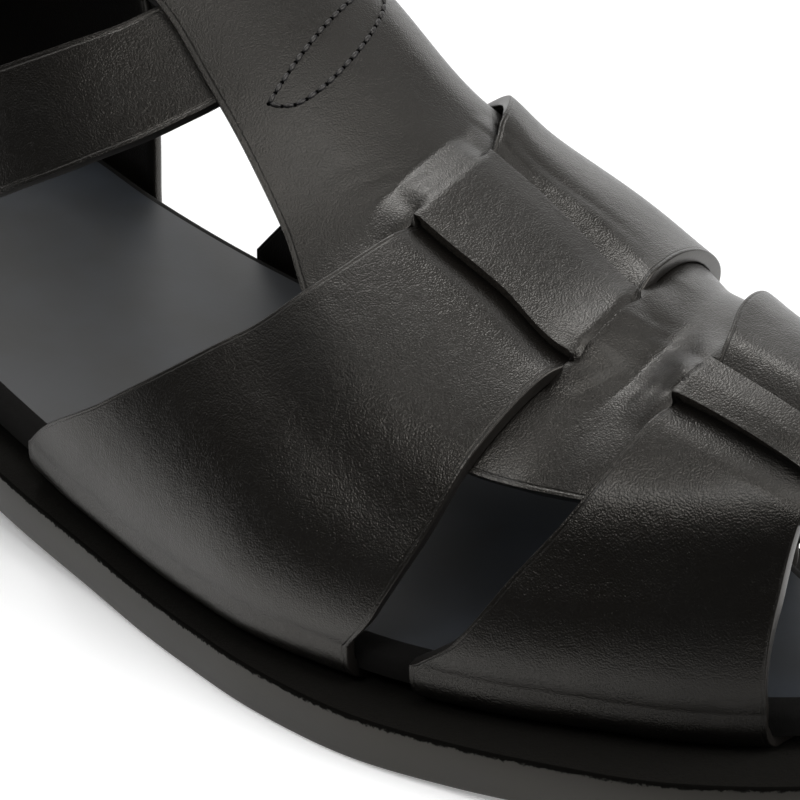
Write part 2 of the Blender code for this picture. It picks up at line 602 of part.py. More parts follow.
def tube(name, path, radius, closed, sides=8):
    """Round wire along points given as s, w, off on the ankle line."""
    path = np.asarray(path, float)
    n = len(path)
    verts = []
    for i in range(n):
        if closed:
            d = path[(i + 1) % n] - path[i - 1]
        else:
            d = path[min(i + 1, n - 1)] - path[max(i - 1, 0)]
        d = d / np.linalg.norm(d)
        up = np.array([0.0, 0.0, 1.0])
        if abs(d[2]) > 0.8:
            up = np.array([1.0, 0.0, 0.0])
        a = np.cross(d, up)
        a /= np.linalg.norm(a)
        b = np.cross(a, d)
        for k in range(sides):
            ang = 2 * math.pi * k / sides
            s, w, o = path[i] + radius * (math.cos(ang) * a + math.sin(ang) * b)
            verts.append(ribbon(s, w, o))
    faces = []
    for i in range(n if closed else n - 1):
        m = (i + 1) % n
        for k in range(sides):
            j = (k + 1) % sides
            faces.append((i * sides + k, i * sides + j, m * sides + j, m * sides + k))
    if not closed:
        faces.append(tuple(range(sides)))
        faces.append(tuple((n - 1) * sides + k for k in range(sides)))
    return add_mesh(name, verts, faces)


HALF_FRAME = 13.0
CORNER = 3.0
frame_path = []
for cs, cw, start in ((FRONT_BAR - CORNER, HALF_FRAME - CORNER, 0), (BAR + CORNER, HALF_FRAME - CORNER, 90),
                      (BAR + CORNER, -HALF_FRAME + CORNER, 180), (FRONT_BAR - CORNER, -HALF_FRAME + CORNER, 270)):
    for k in range(4):
        ang = math.radians(start + 30 * k)
        frame_path.append((cs + CORNER * math.cos(ang), cw + CORNER * math.sin(ang), BAR_HIGH))
    if start == 90:
        frame_path += [(BAR, 3.5, BAR_HIGH), (BAR, -3.5, BAR_HIGH)]
    if start == 270:
        frame_path += [(FRONT_BAR, -3.5, BAR_HIGH), (FRONT_BAR, 3.5, BAR_HIGH)]
tube("buckle_frame", frame_path, BAR_R, True, 10)


def strip(name, outline, w_from, w_to, paired=False):
    """A solid with the given closed outline in s and off, between two places across the ankle line.

    A paired outline runs out along one side and back along the other, point for point."""
    outline = np.asarray(outline, float)
    n = len(outline)
    verts = [ribbon(s, w_from, o) for s, o in outline] + [ribbon(s, w_to, o) for s, o in outline]
    faces = [(i, (i + 1) % n, n + (i + 1) % n, n + i) for i in range(n)]
    if paired:
        for i in range(n // 2 - 1):
            side = (n - 1 - i, n - 2 - i, i + 1, i)
            faces += [side, tuple(n + k for k in side[::-1])]
    else:
        faces += [tuple(range(n - 1, -1, -1)), tuple(range(n, 2 * n))]
    obj = add_mesh(name, verts, faces)
    bm = bmesh.new()
    bm.from_mesh(obj.data)
    bmesh.ops.triangulate(bm, faces=bm.faces[:], quad_method="BEAUTY", ngon_method="EAR_CLIP")
    face_out(bm)
    bm.to_mesh(obj.data)
    bm.free()
    return obj


def ring_outline(radius_in, radius_out, from_deg, to_deg, n, arm_out, arm_in):
    """C-shaped outline round the rear bar, with an arm on its end."""
    inner_arc = []
    outer_arc = []
    for k in range(n + 1):
        ang = math.radians(from_deg + (to_deg - from_deg) * k / n)
        inner_arc.append((BAR + radius_in * math.cos(ang), BAR_HIGH + radius_in * math.sin(ang)))
        outer_arc.append((BAR + radius_out * math.cos(ang), BAR_HIGH + radius_out * math.sin(ang)))
    return outer_arc + arm_out + arm_in + inner_arc[::-1]


# The prong hooks round the bar, passes up through the strap and lies on the front bar.
prong_out = [(BAR + 4.5, BAR_HIGH + 3.0), (BAR + 9.0, BAR_HIGH + 3.3), (FRONT_BAR + 1.2, BAR_HIGH + 3.1)]
prong_in = [(FRONT_BAR + 1.2, BAR_HIGH + 1.6), (BAR + 9.0, BAR_HIGH + 1.6), (BAR + 4.5, BAR_HIGH + 1.4)]
strip("buckle_prong", ring_outline(1.5, 2.85, -15, -270, 10, prong_out, prong_in), -1.3, 1.3, paired=True)

# The strap's hole for the prong.
hole = [(BAR + 1.0, 1.0), (BAR + 10.5, 1.0), (BAR + 10.5, 14.0), (BAR + 1.0, 14.0)]
cut(ankle, strip("hole", hole, -1.9, 1.9))

# Tab: lies on the counter, wraps the bar and comes back on itself; slotted for the prong.
tab_outline = []
for k in range(11):
    ang = math.radians(-95 + 240 * k / 10)
    tab_outline.append((BAR + 3.0 * math.cos(ang), BAR_HIGH + 3.0 * math.sin(ang)))
tab_inner = []
for k in range(11):
    ang = math.radians(-95 + 240 * k / 10)
    tab_inner.append((BAR + 1.5 * math.cos(ang), BAR_HIGH + 1.5 * math.sin(ang)))
outline = [(BAR - 27.0, 2.3), (BAR - 14.0, 2.3), (BAR - 5.0, 2.3)] + tab_outline
outline += [(BAR - 5.5, 5.6), (BAR - 9.5, 5.6), (BAR - 9.5, 4.1), (BAR - 5.5, 4.1)] + tab_inner[::-1]
outline += [(BAR - 3.4, 3.8), (BAR - 5.0, 3.8), (BAR - 14.0, 3.8), (BAR - 27.0, 3.8)]
tab = strip("buckle_tab", outline, -7.5, 7.5)
slot = [(BAR - 3.6, 0.5), (BAR + 4.0, 0.5), (BAR + 4.0, 10.0), (BAR - 3.6, 10.0)]
cut(tab, strip("slot", slot, -1.9, 1.9))

# Keeper: a leather loop round the strap's free end and the tab.
keep_s = BAR - 19.0
ws_out = (-11.9, -4.0, 4.0, 11.9)
ws_in = (-10.4, -3.5, 3.5, 10.4)
ring_o = [(w, 4.1) for w in ws_out] + [(w, 10.2) for w in ws_out[::-1]]
ring_i = [(w, 5.6) for w in ws_in] + [(w, 8.75) for w in ws_in[::-1]]
verts = []
for s in (keep_s - 3.5, keep_s + 3.5):
    for loop in (ring_o, ring_i):
        verts += [ribbon(s, w, o) for w, o in loop]
faces = []
for k in range(8):
    m = (k + 1) % 8
    faces += [(k, m, 16 + m, 16 + k), (8 + m, 8 + k, 24 + k, 24 + m)]
    faces += [(m, k, 8 + k, 8 + m), (16 + k, 16 + m, 24 + m, 24 + k)]
add_mesh("keeper", verts, faces)


# Heel counter: one wall round the back of the heel, its lower edge turned in under the footbed.
def counter_line(count_side, count_back):
    """Footbed edge from the outer front of the counter, round the heel, to its inner front."""
    outer_part = [p for p in BED_OUTER if 6 < p[0] <= COUNTER_FRONT_OUTER]
    inner_part = [p for p in BED_INNER if 6 < p[0] <= COUNTER_FRONT_INNER]
    ring = np.vstack([[(COUNTER_FRONT_OUTER, bed_outer(COUNTER_FRONT_OUTER))], outer_part[::-1],
                      BED_FINE[:1], inner_part, [(COUNTER_FRONT_INNER, bed_inner(COUNTER_FRONT_INNER))]])
    length = np.r_[0, np.cumsum(np.linalg.norm(np.diff(ring, axis=0), axis=1))]
    share = np.r_[np.linspace(0, 0.30, count_side, endpoint=False),
                  np.linspace(0.30, 0.70, count_back, endpoint=False),
                  np.linspace(0.70, 1, count_side)]
    s = share * length[-1]
    return np.column_stack([np.interp(s, length, ring[:, 0]), np.interp(s, length, ring[:, 1])]), share


base, share = counter_line(6, 17)
tangent = np.gradient(base, axis=0)
side = np.stack([tangent[:, 1], -tangent[:, 0]], axis=1)
side /= np.linalg.norm(side, axis=1)[:, None]
side = -side if side[0, 1] > 0 else side
levels = list(TAILS) + [0.0, 0.13, 0.28, 0.45, 0.62, 0.8, 1.0]
lo = np.zeros((len(base), len(levels), 3))
hi = np.zeros((len(base), len(levels), 3))


def side_point(x, outer_side, part, high):
    """A point on the last beside the heel: part below 0 is the tail, above 0 a share of the given height."""
    girth, ys, zs, lo_len, li_len = section(x)
    if part <= 0:
        v = part if outer_side else 1 - part
        return inside(x, v), outward(x, v)
    z = float(table(TOP, x)) + BED_THICK + part * high
    foot = len(TAILS)
    if outer_side:
        v = float(np.interp(z, zs[foot:foot + 33], girth[foot:foot + 33]))
    else:
        v = float(np.interp(z, zs[foot + 32:foot + 65][::-1], girth[foot + 32:foot + 65][::-1]))
    return inside(x, v), outward(x, v)


for i, (p, sh) in enumerate(zip(base, share)):
    high = float(table(COUNTER_TOP, sh))
    x = float(p[0])
    outer_side = p[1] < 0
    for j, part in enumerate(levels):
        xs_side = max(x, 45.0)
        q, n = side_point(xs_side, outer_side, part, high)
        zs_here = float(table(TOP, x))
        z = q[2] - float(table(TOP, xs_side)) + zs_here
        edge = bed_outer(xs_side) if outer_side else bed_inner(xs_side)
        side_shift = abs(q[1]) - abs(edge)
        if part > 0:
            back_shift = SIDE_GAP + 0.1 + float(table(HEEL_CURVE, part * high))
            slope = (float(table(HEEL_CURVE, part * high + 1)) - float(table(HEEL_CURVE, part * high - 1))) / 2
        else:
            back_shift = side_shift
            slope = None
        blend = smooth((45.0 - x) / 38.0) if x < 45 else 0.0
        shift = (1 - blend) * side_shift + blend * back_shift
        direction = side[i] if x < 45 else np.array([0.0, -1.0 if outer_side else 1.0])
        xy = p + direction * shift
        if x >= 45:
            lo[i, j] = q
            hi[i, j] = q + n * COUNTER
        else:
            radial = math.hypot(n[0], n[1]) * (1 if part > -0.5 else 0)
            nz = n[2]
            if slope is not None:
                tilt = math.atan(slope)
                radial = (1 - blend) * radial + blend * math.cos(tilt)
                nz = (1 - blend) * nz - blend * math.sin(tilt)
            scale = COUNTER / math.hypot(radial, nz)
            lo[i, j] = (xy[0], xy[1], z)
            hi[i, j] = (xy[0] + side[i][0] * radial * scale, xy[1] + side[i][1] * radial * scale, z + nz * scale)
wall("heel_counter", hi, lo, np.ones((len(base) - 1, len(levels) - 1), bool))

# Pockets in the footbed for the tails of the straps and of the counter.
for front, back, where in ((211.0, 134.0, "outer"), (269.0, 221.0, "outer"),
                           (194.0, 110.0, "inner"), (238.0, 209.0, "inner")):
    cut(footbed, strap_pocket(back, front, where))
verts = []
faces = []
n = len(base)
ends = base.copy()
ends[0] += (0.5, 0.0)
ends[-1] += (0.5, 0.0)
for i in range(n):
    z = float(table(TOP, base[i][0]))
    lean = float(smooth((ends[i][0] - 40.0) / 10.0))
    across = (1 - lean) * side[i] + lean * np.array([0.0, math.copysign(1.0, ends[i][1])])
    for d in (4.0, -(TAIL + 0.3)):
        q = ends[i] + across * d
        verts.append((q[0], q[1], z - 1.5))
        verts.append((q[0], q[1], z + 2 * GAP + LEATHER))
for i in range(n - 1):
    a = 4 * i
    b = a + 4
    faces += [(a, b, b + 1, a + 1), (a + 1, b + 1, b + 3, a + 3)]
    faces += [(a + 3, b + 3, b + 2, a + 2), (a + 2, b + 2, b, a)]
faces += [(0, 1, 3, 2), (4 * n - 4, 4 * n - 2, 4 * n - 1, 4 * n - 3)]
cut(footbed, add_mesh("pocket", verts, faces))

# Finishes: linear colour, roughness and metallic value of each piece.
FINISHES = {
    "outsole": ((0.018, 0.017, 0.014), 0.40, 0.0),
    "heel_block": ((0.018, 0.017, 0.014), 0.40, 0.0),
    "heel_lift": ((0.012, 0.012, 0.012), 0.75, 0.0),
    "footbed": ((0.016, 0.017, 0.019), 0.55, 0.0),
    "upper": ((0.010, 0.009, 0.008), 0.42, 0.0),
    "heel_counter": ((0.010, 0.009, 0.008), 0.42, 0.0),
    "ankle_strap": ((0.010, 0.009, 0.008), 0.42, 0.0),
    "buckle_tab": ((0.010, 0.009, 0.008), 0.42, 0.0),
    "keeper": ((0.010, 0.009, 0.008), 0.42, 0.0),
    "buckle_frame": ((0.56, 0.55, 0.52), 0.30, 1.0),
    "buckle_prong": ((0.56, 0.55, 0.52), 0.30, 1.0)}
for name, (colour, roughness, metallic) in FINISHES.items():
    finish = bpy.data.materials.new(name)
    finish.use_nodes = True
    shader = finish.node_tree.nodes["Principled BSDF"]
    shader.inputs["Base Color"].default_value = (*colour, 1.0)
    shader.inputs["Roughness"].default_value = roughness
    shader.inputs["Metallic"].default_value = metallic
    mesh = sandal.objects[name].data
    mesh.materials.clear()
    mesh.materials.append(finish)
    mesh.shade_smooth()
    mesh.set_sharp_from_angle(angle=math.radians(35))
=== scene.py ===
# %% [markdown]
# # A black leather fisherman sandal
# This lesson dresses a right-foot sandal that is already built at its real size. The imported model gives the
# place of every piece, and each cell below makes one piece or one finish around it. Sizes are in millimetres
# and are turned to metres as the meshes are made.

# %% Load the packed sandal
import math

import bmesh
import bpy
import numpy as np
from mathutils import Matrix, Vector


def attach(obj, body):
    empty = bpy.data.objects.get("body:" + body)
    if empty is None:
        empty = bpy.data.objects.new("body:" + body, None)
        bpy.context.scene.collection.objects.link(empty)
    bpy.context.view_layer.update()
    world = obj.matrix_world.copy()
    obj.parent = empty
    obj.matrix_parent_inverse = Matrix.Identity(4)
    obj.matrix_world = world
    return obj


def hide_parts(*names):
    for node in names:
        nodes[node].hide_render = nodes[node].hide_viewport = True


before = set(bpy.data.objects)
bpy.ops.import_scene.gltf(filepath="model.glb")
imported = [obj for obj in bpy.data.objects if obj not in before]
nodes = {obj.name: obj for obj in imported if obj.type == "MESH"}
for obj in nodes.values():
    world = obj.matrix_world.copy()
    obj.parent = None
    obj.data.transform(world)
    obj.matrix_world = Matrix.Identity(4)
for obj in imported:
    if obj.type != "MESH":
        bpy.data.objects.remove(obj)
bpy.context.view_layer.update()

# %% [markdown]
# ## The camera
# The photograph looks down at the outer side of the forefoot from the front, through a long lens, so the
# camera stands 0.6 m away and sees about 130 mm. It is made first, so that every later piece can be judged
# in the same view.

# %% Camera
# The middle of the sole in stations: x from the back of the heel, y toward the big toe, z from the floor.
MIDDLE = np.array([144.0, -2.3, 0.0])
LOOK_AT = (180.0, -2.0, 30.0)
EYE = (565.0, -354.8, 325.4)


def metres(point):
    """A point in stations and millimetres, as the meshes have it."""
    return Vector(((np.array(point, float) - MIDDLE) * 0.001).tolist())


lens = bpy.data.cameras.new("camera")
lens.sensor_width = 36.0
lens.lens = 169.5
lens.clip_start = 0.05
camera = bpy.data.objects.new("camera", lens)
camera.location = metres(EYE)
camera.rotation_euler = (metres(LOOK_AT) - metres(EYE)).to_track_quat("-Z", "Y").to_euler()
bpy.context.scene.collection.objects.link(camera)
bpy.context.scene.camera = camera
print("camera", round((metres(EYE) - metres(LOOK_AT)).length, 3), "m from where it looks")

# %% [markdown]
# ## The last
# Straps only look right when they lie on a foot. A shoemaker pulls leather over a last, so the script does
# the same: a short table of sections gives the last's surface, and every strap is drawn on that surface with
# two numbers, the station along the foot and the girth across it. Girth 0 is the footbed's outer edge, 0.5
# the ridge and 1 the inner edge; below 0 and above 1 the leather turns in under the footbed.

# %% Sizes shared with the construction
# Thickness of the strap leather, the footbed and the sole.
LEATHER = 2.2
BED_THICK = 8.0
SOLE_THICK = 8.0
# The gap between pieces that lie on each other, and between the footbed's side and a strap.
GAP = 0.3
SIDE_GAP = 0.45
# How far a strap's tail runs in under the footbed, and the radius at which its inner face bends there.
TAIL = 9.0
TURN = 3.3
# The sole's outline: station, then y on the outer and on the inner side.
SOLE = np.array([
    (2, -11, 11), (8, -21, 21), (20, -29.5, 29), (40, -34.5, 33), (62, -36.5, 33),
    (85, -38, 31.5), (108, -41, 31.8), (129, -44.1, 34), (157, -46.2, 39),
    (180, -48, 42.6), (197, -48.4, 43.8), (217, -45.9, 42), (233, -40.8, 37.5),
    (248, -34.6, 32.8), (262, -28.1, 27.9), (274, -20, 22.3), (282, -12.8, 16.6),
    (286.8, -5.6, 10.4)])
HEEL_BACK = (0, 0)
TOE_TIP = (288.5, 2.4)
# How far the footbed's edge lies inside the sole's: station, then the outer and the inner side.
INSET = np.array([
    (0, 5, 5), (60, 5, 5), (110, 5.2, 4.8), (130, 5.6, 5), (150, 4.6, 5.2),
    (185, 5, 6), (215, 8, 7.5), (235, 9, 9.2), (262, 10.5, 10), (290, 10, 10)])
# Station and height of the sole's upper face.
TOP = np.array([
    (0, 16.2), (66, 15.4), (85, 14), (118, 11.6), (150, 9.2), (172, 8), (208, 8),
    (228, 8.6), (250, 9.9), (275, 12.6), (292, 15.2)])
# A section at a station: the ridge's y and its height over the footbed, then for the outer and the inner
# side the flare in degrees and how far the side runs up and the top runs across, as shares.
LAST = np.array([
    (40, 0, 104, 3, 0.55, 0.45, 3, 0.55, 0.45), (60, 1, 98, 4, 0.55, 0.45, 3, 0.55, 0.45),
    (95, 4, 88, 5, 0.52, 0.45, 4, 0.55, 0.45), (120, 8, 78, 7, 0.50, 0.48, 5, 0.55, 0.50),
    (140, 12, 68, 9, 0.48, 0.48, 6, 0.58, 0.55), (160, 15, 59.3, 10, 0.46, 0.50, 7, 0.60, 0.60),
    (180, 17, 51.8, 12, 0.45, 0.50, 8, 0.62, 0.65), (200, 17, 46.8, 13, 0.45, 0.50, 9, 0.65, 0.70),
    (220, 16, 43.2, 14, 0.46, 0.50, 9, 0.65, 0.70), (240, 14, 42.4, 14, 0.48, 0.50, 9, 0.65, 0.68),
    (262, 10, 40.6, 13, 0.50, 0.52, 8, 0.60, 0.62), (280, 6, 37, 10, 0.50, 0.55, 8, 0.55, 0.60)])
# Ahead of this station the last section is carried on, sinking toward the toe.
LAST_END = 269.5


# %% Curves through short tables
def table(rows, x, column=1):
    """Smooth monotone curve through one column of a short table."""
    xs = rows[:, 0]
    ys = rows[:, column]
    h = np.diff(xs)
    d = np.diff(ys) / h
    m = np.zeros_like(ys)
    for i in range(1, len(xs) - 1):
        if d[i - 1] * d[i] > 0:
            w1 = 2 * h[i] + h[i - 1]
            w2 = h[i] + 2 * h[i - 1]
            m[i] = (w1 + w2) / (w1 / d[i - 1] + w2 / d[i])
    m[0] = d[0]
    m[-1] = d[-1]
    x = np.asarray(x, float)
    i = np.clip(np.searchsorted(xs, x) - 1, 0, len(xs) - 2)
    t = np.clip((x - xs[i]) / h[i], -0.5, 1.5)
    a = (2 * t**3 - 3 * t**2 + 1) * ys[i] + (t**3 - 2 * t**2 + t) * h[i] * m[i]
    b = (3 * t**2 - 2 * t**3) * ys[i + 1] + (t**3 - t**2) * h[i] * m[i + 1]
    return a + b


def closed_curve(points, steps):
    """Centripetal Catmull-Rom curve through a closed ring of points."""
    pts = np.asarray(points, float)
    n = len(pts)
    out = []
    for i in range(n):
        p0, p1, p2, p3 = pts[i - 1], pts[i], pts[(i + 1) % n], pts[(i + 2) % n]
        t0 = 0.0
        t1 = t0 + np.linalg.norm(p1 - p0)**0.5
        t2 = t1 + np.linalg.norm(p2 - p1)**0.5
        t3 = t2 + np.linalg.norm(p3 - p2)**0.5
        for k in range(steps):
            t = t1 + (t2 - t1) * k / steps
            a1 = (t1 - t) / (t1 - t0) * p0 + (t - t0) / (t1 - t0) * p1
            a2 = (t2 - t) / (t2 - t1) * p1 + (t - t1) / (t2 - t1) * p2
            a3 = (t3 - t) / (t3 - t2) * p2 + (t - t2) / (t3 - t2) * p3
            b1 = (t2 - t) / (t2 - t0) * a1 + (t - t0) / (t2 - t0) * a2
            b2 = (t3 - t) / (t3 - t1) * a2 + (t - t1) / (t3 - t1) * a3
            out.append((t2 - t) / (t2 - t1) * b1 + (t - t1) / (t2 - t1) * b2)
    return np.array(out)


def ring_normals(ring):
    """Outward unit normals of a counter-clockwise ring."""
    d = np.roll(ring, -1, axis=0) - np.roll(ring, 1, axis=0)
    n = np.stack([d[:, 1], -d[:, 0]], axis=1)
    return n / np.linalg.norm(n, axis=1)[:, None]


def smooth(t):
    """A soft step from 0 to 1."""
    t = np.clip(t, 0.0, 1.0)
    return t * t * (3 - 2 * t)


outer_points = [(x, yo) for x, yo, yi in SOLE]
inner_points = [(x, yi) for x, yo, yi in SOLE[::-1]]
SOLE_RING = closed_curve([HEEL_BACK] + outer_points + [TOE_TIP] + inner_points, 8)
toward_inner = SOLE_RING[:, 1] >= 0
inset = np.where(toward_inner, table(INSET, SOLE_RING[:, 0], 2), table(INSET, SOLE_RING[:, 0], 1))
BED_RING = SOLE_RING - ring_normals(SOLE_RING) * inset[:, None]
HALF = len(SOLE_RING) // 2
BED_OUTER = BED_RING[:HALF + 1]
BED_INNER = BED_RING[HALF:][::-1]
print("sole outline", len(SOLE_RING), "points,", round(float(np.ptp(SOLE_RING[:, 0])), 1), "mm long")


# %% The last's surface as a fine grid
def bezier(a, b, c, d, t):
    """Points of a cubic curve."""
    return (1 - t)**3 * a + 3 * (1 - t)**2 * t * b + 3 * (1 - t) * t**2 * c + t**3 * d


STATIONS = np.arange(40.0, 291.0, 1.0)
# Girths of the leather that is turned in under the footbed, closer together round the bend.
TURNED_IN = np.r_[-1.0, np.linspace(-0.4, -0.2, 9), -0.1]
GIRTHS = np.unique(np.r_[TURNED_IN, np.linspace(0, 1, 401), 1.1, np.linspace(1.2, 1.4, 9), 2.0])


def section(x):
    """Girth values and the y and z of the last's outline at one station, and the length of each side."""
    ahead = max(x - LAST_END, 0.0)
    sink = (0.2 * ahead, 0.28 * ahead + 0.015 * ahead**2)
    x = min(x, LAST_END)
    values = [float(table(LAST, x, k)) for k in range(1, 9)]
    ridge_y, high, flare_o, up_o, across_o, flare_i, up_i, across_i = values
    yo = float(np.interp(x, BED_OUTER[:, 0], BED_OUTER[:, 1])) - SIDE_GAP
    yi = float(np.interp(x, BED_INNER[:, 0], BED_INNER[:, 1])) + SIDE_GAP
    sole_top = float(table(TOP, x))
    bed_top = sole_top + BED_THICK
    ridge = np.array([ridge_y, bed_top + high])
    t = np.linspace(0, 1, 301)[:, None]
    foot_o = np.array([yo, bed_top])
    foot_i = np.array([yi, bed_top])
    fo = math.radians(flare_o)
    fi = math.radians(flare_i)
    rise_o = foot_o + up_o * high * np.array([-math.sin(fo), math.cos(fo)])
    rise_i = foot_i + up_i * high * np.array([math.sin(fi), math.cos(fi)])
    outer = bezier(foot_o, rise_o, ridge - np.array([across_o * (ridge_y - yo), 0]), ridge, t)
    inner = bezier(ridge, ridge + np.array([across_i * (yi - ridge_y), 0]), rise_i, foot_i, t)
    floor = sole_top + GAP + LEATHER
    arc = np.radians(np.linspace(0, 90, 9))
    bend = [(TURN * (1 - math.sin(a)), floor + TURN * (1 - math.cos(a))) for a in arc]
    halfway = (floor + TURN + bed_top) / 2
    tail_o = [(yo + TAIL, floor)] + [(yo + y, z) for y, z in bend] + [(yo, halfway)]
    tail_i = [(yi - TAIL, floor)] + [(yi - y, z) for y, z in bend] + [(yi, halfway)]
    len_o = np.r_[0, np.cumsum(np.hypot(*np.diff(outer, axis=0).T))]
    len_i = np.r_[0, np.cumsum(np.hypot(*np.diff(inner, axis=0).T))]
    girth = np.r_[TURNED_IN, 0.5 * len_o / len_o[-1], 0.5 + 0.5 * len_i[1:] / len_i[-1], 1 - TURNED_IN[::-1]]
    line = np.vstack([tail_o, outer, inner[1:], tail_i[::-1]]) - sink
    return girth, line[:, 0], line[:, 1], len_o[-1], len_i[-1]


POINTS = np.zeros((len(STATIONS), len(GIRTHS), 3))
SIDE_LENGTHS = np.zeros((len(STATIONS), 2))
for k, station in enumerate(STATIONS):
    girth, ys, zs, length_o, length_i = section(station)
    POINTS[k, :, 0] = station
    POINTS[k, :, 1] = np.interp(GIRTHS, girth, ys)
    POINTS[k, :, 2] = np.interp(GIRTHS, girth, zs)
    SIDE_LENGTHS[k] = (length_o, length_i)
NORMALS = np.cross(np.gradient(POINTS, axis=0), np.gradient(POINTS, axis=1))
NORMALS /= np.linalg.norm(NORMALS, axis=2)[:, :, None]


def on_last(x, v, off=0.0):
    """Points at station x and girth v, off millimetres outside the last."""
    x, v, off = np.broadcast_arrays(np.asarray(x, float), np.asarray(v, float), np.asarray(off, float))
    fx = np.clip(x - STATIONS[0], 0, len(STATIONS) - 1.001)
    fv = np.clip(np.interp(v, GIRTHS, np.arange(len(GIRTHS))), 0, len(GIRTHS) - 1.001)
    i = fx.astype(int)
    j = fv.astype(int)
    a = (fx - i)[..., None]
    b = (fv - j)[..., None]

    def mix(grid):
        low = (1 - b) * grid[i, j] + b * grid[i, j + 1]
        high = (1 - b) * grid[i + 1, j] + b * grid[i + 1, j + 1]
        return (1 - a) * low + a * high

    normal = mix(NORMALS)
    normal /= np.linalg.norm(normal, axis=-1)[..., None]
    return mix(POINTS) + normal * off[..., None]


def girth_mm(x, v):
    """Millimetres of girth per unit of v."""
    outer = np.interp(x, STATIONS, SIDE_LENGTHS[:, 0])
    inner = np.interp(x, STATIONS, SIDE_LENGTHS[:, 1])
    return 2 * np.where(v < 0.5, outer, inner)


print("last surface", POINTS.shape)

# %% [markdown]
# ## Where the straps run
# Each edge of a strap is one short table on the last. The cross straps are measured as a station at a girth,
# because they run across the foot. The spine strap and its two slits run along the foot, so they are a girth
# at a station.

# %% Strap edges
REAR_BACK = np.array([
    (0, 134), (0.032, 140), (0.095, 155), (0.18, 170), (0.264, 180.5), (0.319, 184), (0.381, 186),
    (0.47, 184.5), (0.51, 179.5), (0.60, 168), (0.75, 147), (0.90, 124), (1, 110)])
REAR_FRONT = np.array([
    (0, 211), (0.041, 215.5), (0.136, 219.8), (0.202, 221), (0.277, 222), (0.353, 223.5), (0.447, 222),
    (0.50, 220), (0.65, 214), (0.80, 206), (1, 194)])
FRONT_BACK = np.array([
    (0, 221), (0.04, 228), (0.137, 235), (0.221, 239.6), (0.303, 241.8), (0.369, 242.8), (0.415, 243.2),
    (0.446, 242), (0.49, 238), (0.65, 228), (0.80, 219), (1, 209)])
FRONT_FRONT = np.array([
    (0, 269), (0.30, 270), (0.38, 269), (0.43, 267), (0.50, 263), (0.65, 256), (0.80, 248),
    (1, 238)])
SPINE_BACK = np.array([
    (0.30, 122), (0.36, 124.5), (0.39, 126.5), (0.44, 128), (0.49, 125), (0.53, 120), (0.57, 113),
    (0.64, 104)])
LOOP_FRONT = np.array([
    (0.30, 147), (0.36, 150.5), (0.39, 152), (0.44, 152.5), (0.49, 149.5), (0.53, 144.5), (0.57, 138),
    (0.64, 128)])
SPINE_OUTER = np.array([
    (105, 0.402), (130, 0.389), (148, 0.357), (170, 0.303), (181, 0.264), (200, 0.225),
    (221, 0.202), (230, 0.209), (240, 0.221), (255, 0.262), (266, 0.298), (280, 0.335)])
OUTER_SLIT = np.array([
    (105, 0.43), (150, 0.405), (186, 0.380), (205, 0.369), (224, 0.348), (234, 0.354),
    (244, 0.362), (267, 0.369), (280, 0.374)])
INNER_SLIT = np.array([
    (105, 0.52), (150, 0.50), (183, 0.478), (193, 0.475), (207, 0.463), (222, 0.446),
    (234, 0.428), (244, 0.416), (262, 0.420), (280, 0.424)])
SPINE_INNER = np.array([
    (105, 0.558), (130, 0.565), (148, 0.582), (170, 0.622), (190, 0.655), (221, 0.668),
    (239, 0.645), (255, 0.59), (268, 0.515), (280, 0.475)])


def across_foot(rows):
    """A line across the foot: its station at a girth."""
    return lambda v: table(rows, np.clip(v, 0.0, 1.0))


def along_foot(rows):
    """A line along the foot: its girth at a station."""
    return lambda x: table(rows, np.clip(x, 105.0, 280.0))


def spine_end(v):
    """The spine's rounded front end: its station at a girth."""
    return 277.0 - 260.0 * (v - 0.40)**2


def between(line_a, line_b, share):
    """A line that lies a share of the way from one line to another."""
    return lambda w: (1 - share) * line_a(w) + share * line_b(w)


def fan(lines, counts):
    """All the lines of a grid: the given main lines with evenly shared ones between them."""
    out = []
    for a, b, count in zip(lines, lines[1:], counts):
        out += [between(a, b, k / count) for k in range(count)]
    return out + [lines[-1]]


def crossings(across, along):
    """Station and girth where each line across the foot meets each line along it."""
    x = np.full((len(across), len(along)), 200.0)
    v = np.full((len(across), len(along)), 0.45)
    # Half steps first, because whole ones may swing to and fro.
    for weight in [0.5] * 42 + [1.0] * 3:
        for i, line in enumerate(across):
            x[i] += weight * (line(v[i]) - x[i])
        for j, line in enumerate(along):
            v[:, j] += weight * (line(x[:, j]) - v[:, j])
    return x, v


print("rear cross strap", round(float(across_foot(REAR_FRONT)(0.0) - across_foot(REAR_BACK)(0.0))), "mm wide")


# %% [markdown]
# ## Cutting a strap from leather
# A strap is a sheet with a real thickness. The sheet starts as a flat grid from `bmesh.ops.create_grid`, each
# grid point is moved onto the last, and Solidify gives the leather its 2.2 mm. A Bevel then rounds the cut
# edges, which is what catches the light along every strap.

# %% Helpers that make leather
def keep_piece(obj, *replaced, slot):
    """Links a finished piece, makes it ride on the sandal, hides the parts it replaces; slot is unused."""
    bpy.context.scene.collection.objects.link(obj)
    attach(obj, "root")
    if replaced:
        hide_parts(*replaced)
    return obj


def add_thickness(obj, thick, round_mm):
    """Solidify and a small round on the cut edges, which take the second material."""
    wall = obj.modifiers.new("thickness", "SOLIDIFY")
    wall.thickness = thick * 0.001
    wall.offset = 0.0
    wall.material_offset_rim = 1
    edge = obj.modifiers.new("cut edge", "BEVEL")
    edge.width = round_mm * 0.001
    edge.segments = 3
    edge.limit_method = "ANGLE"
    edge.angle_limit = math.radians(50)
    return obj


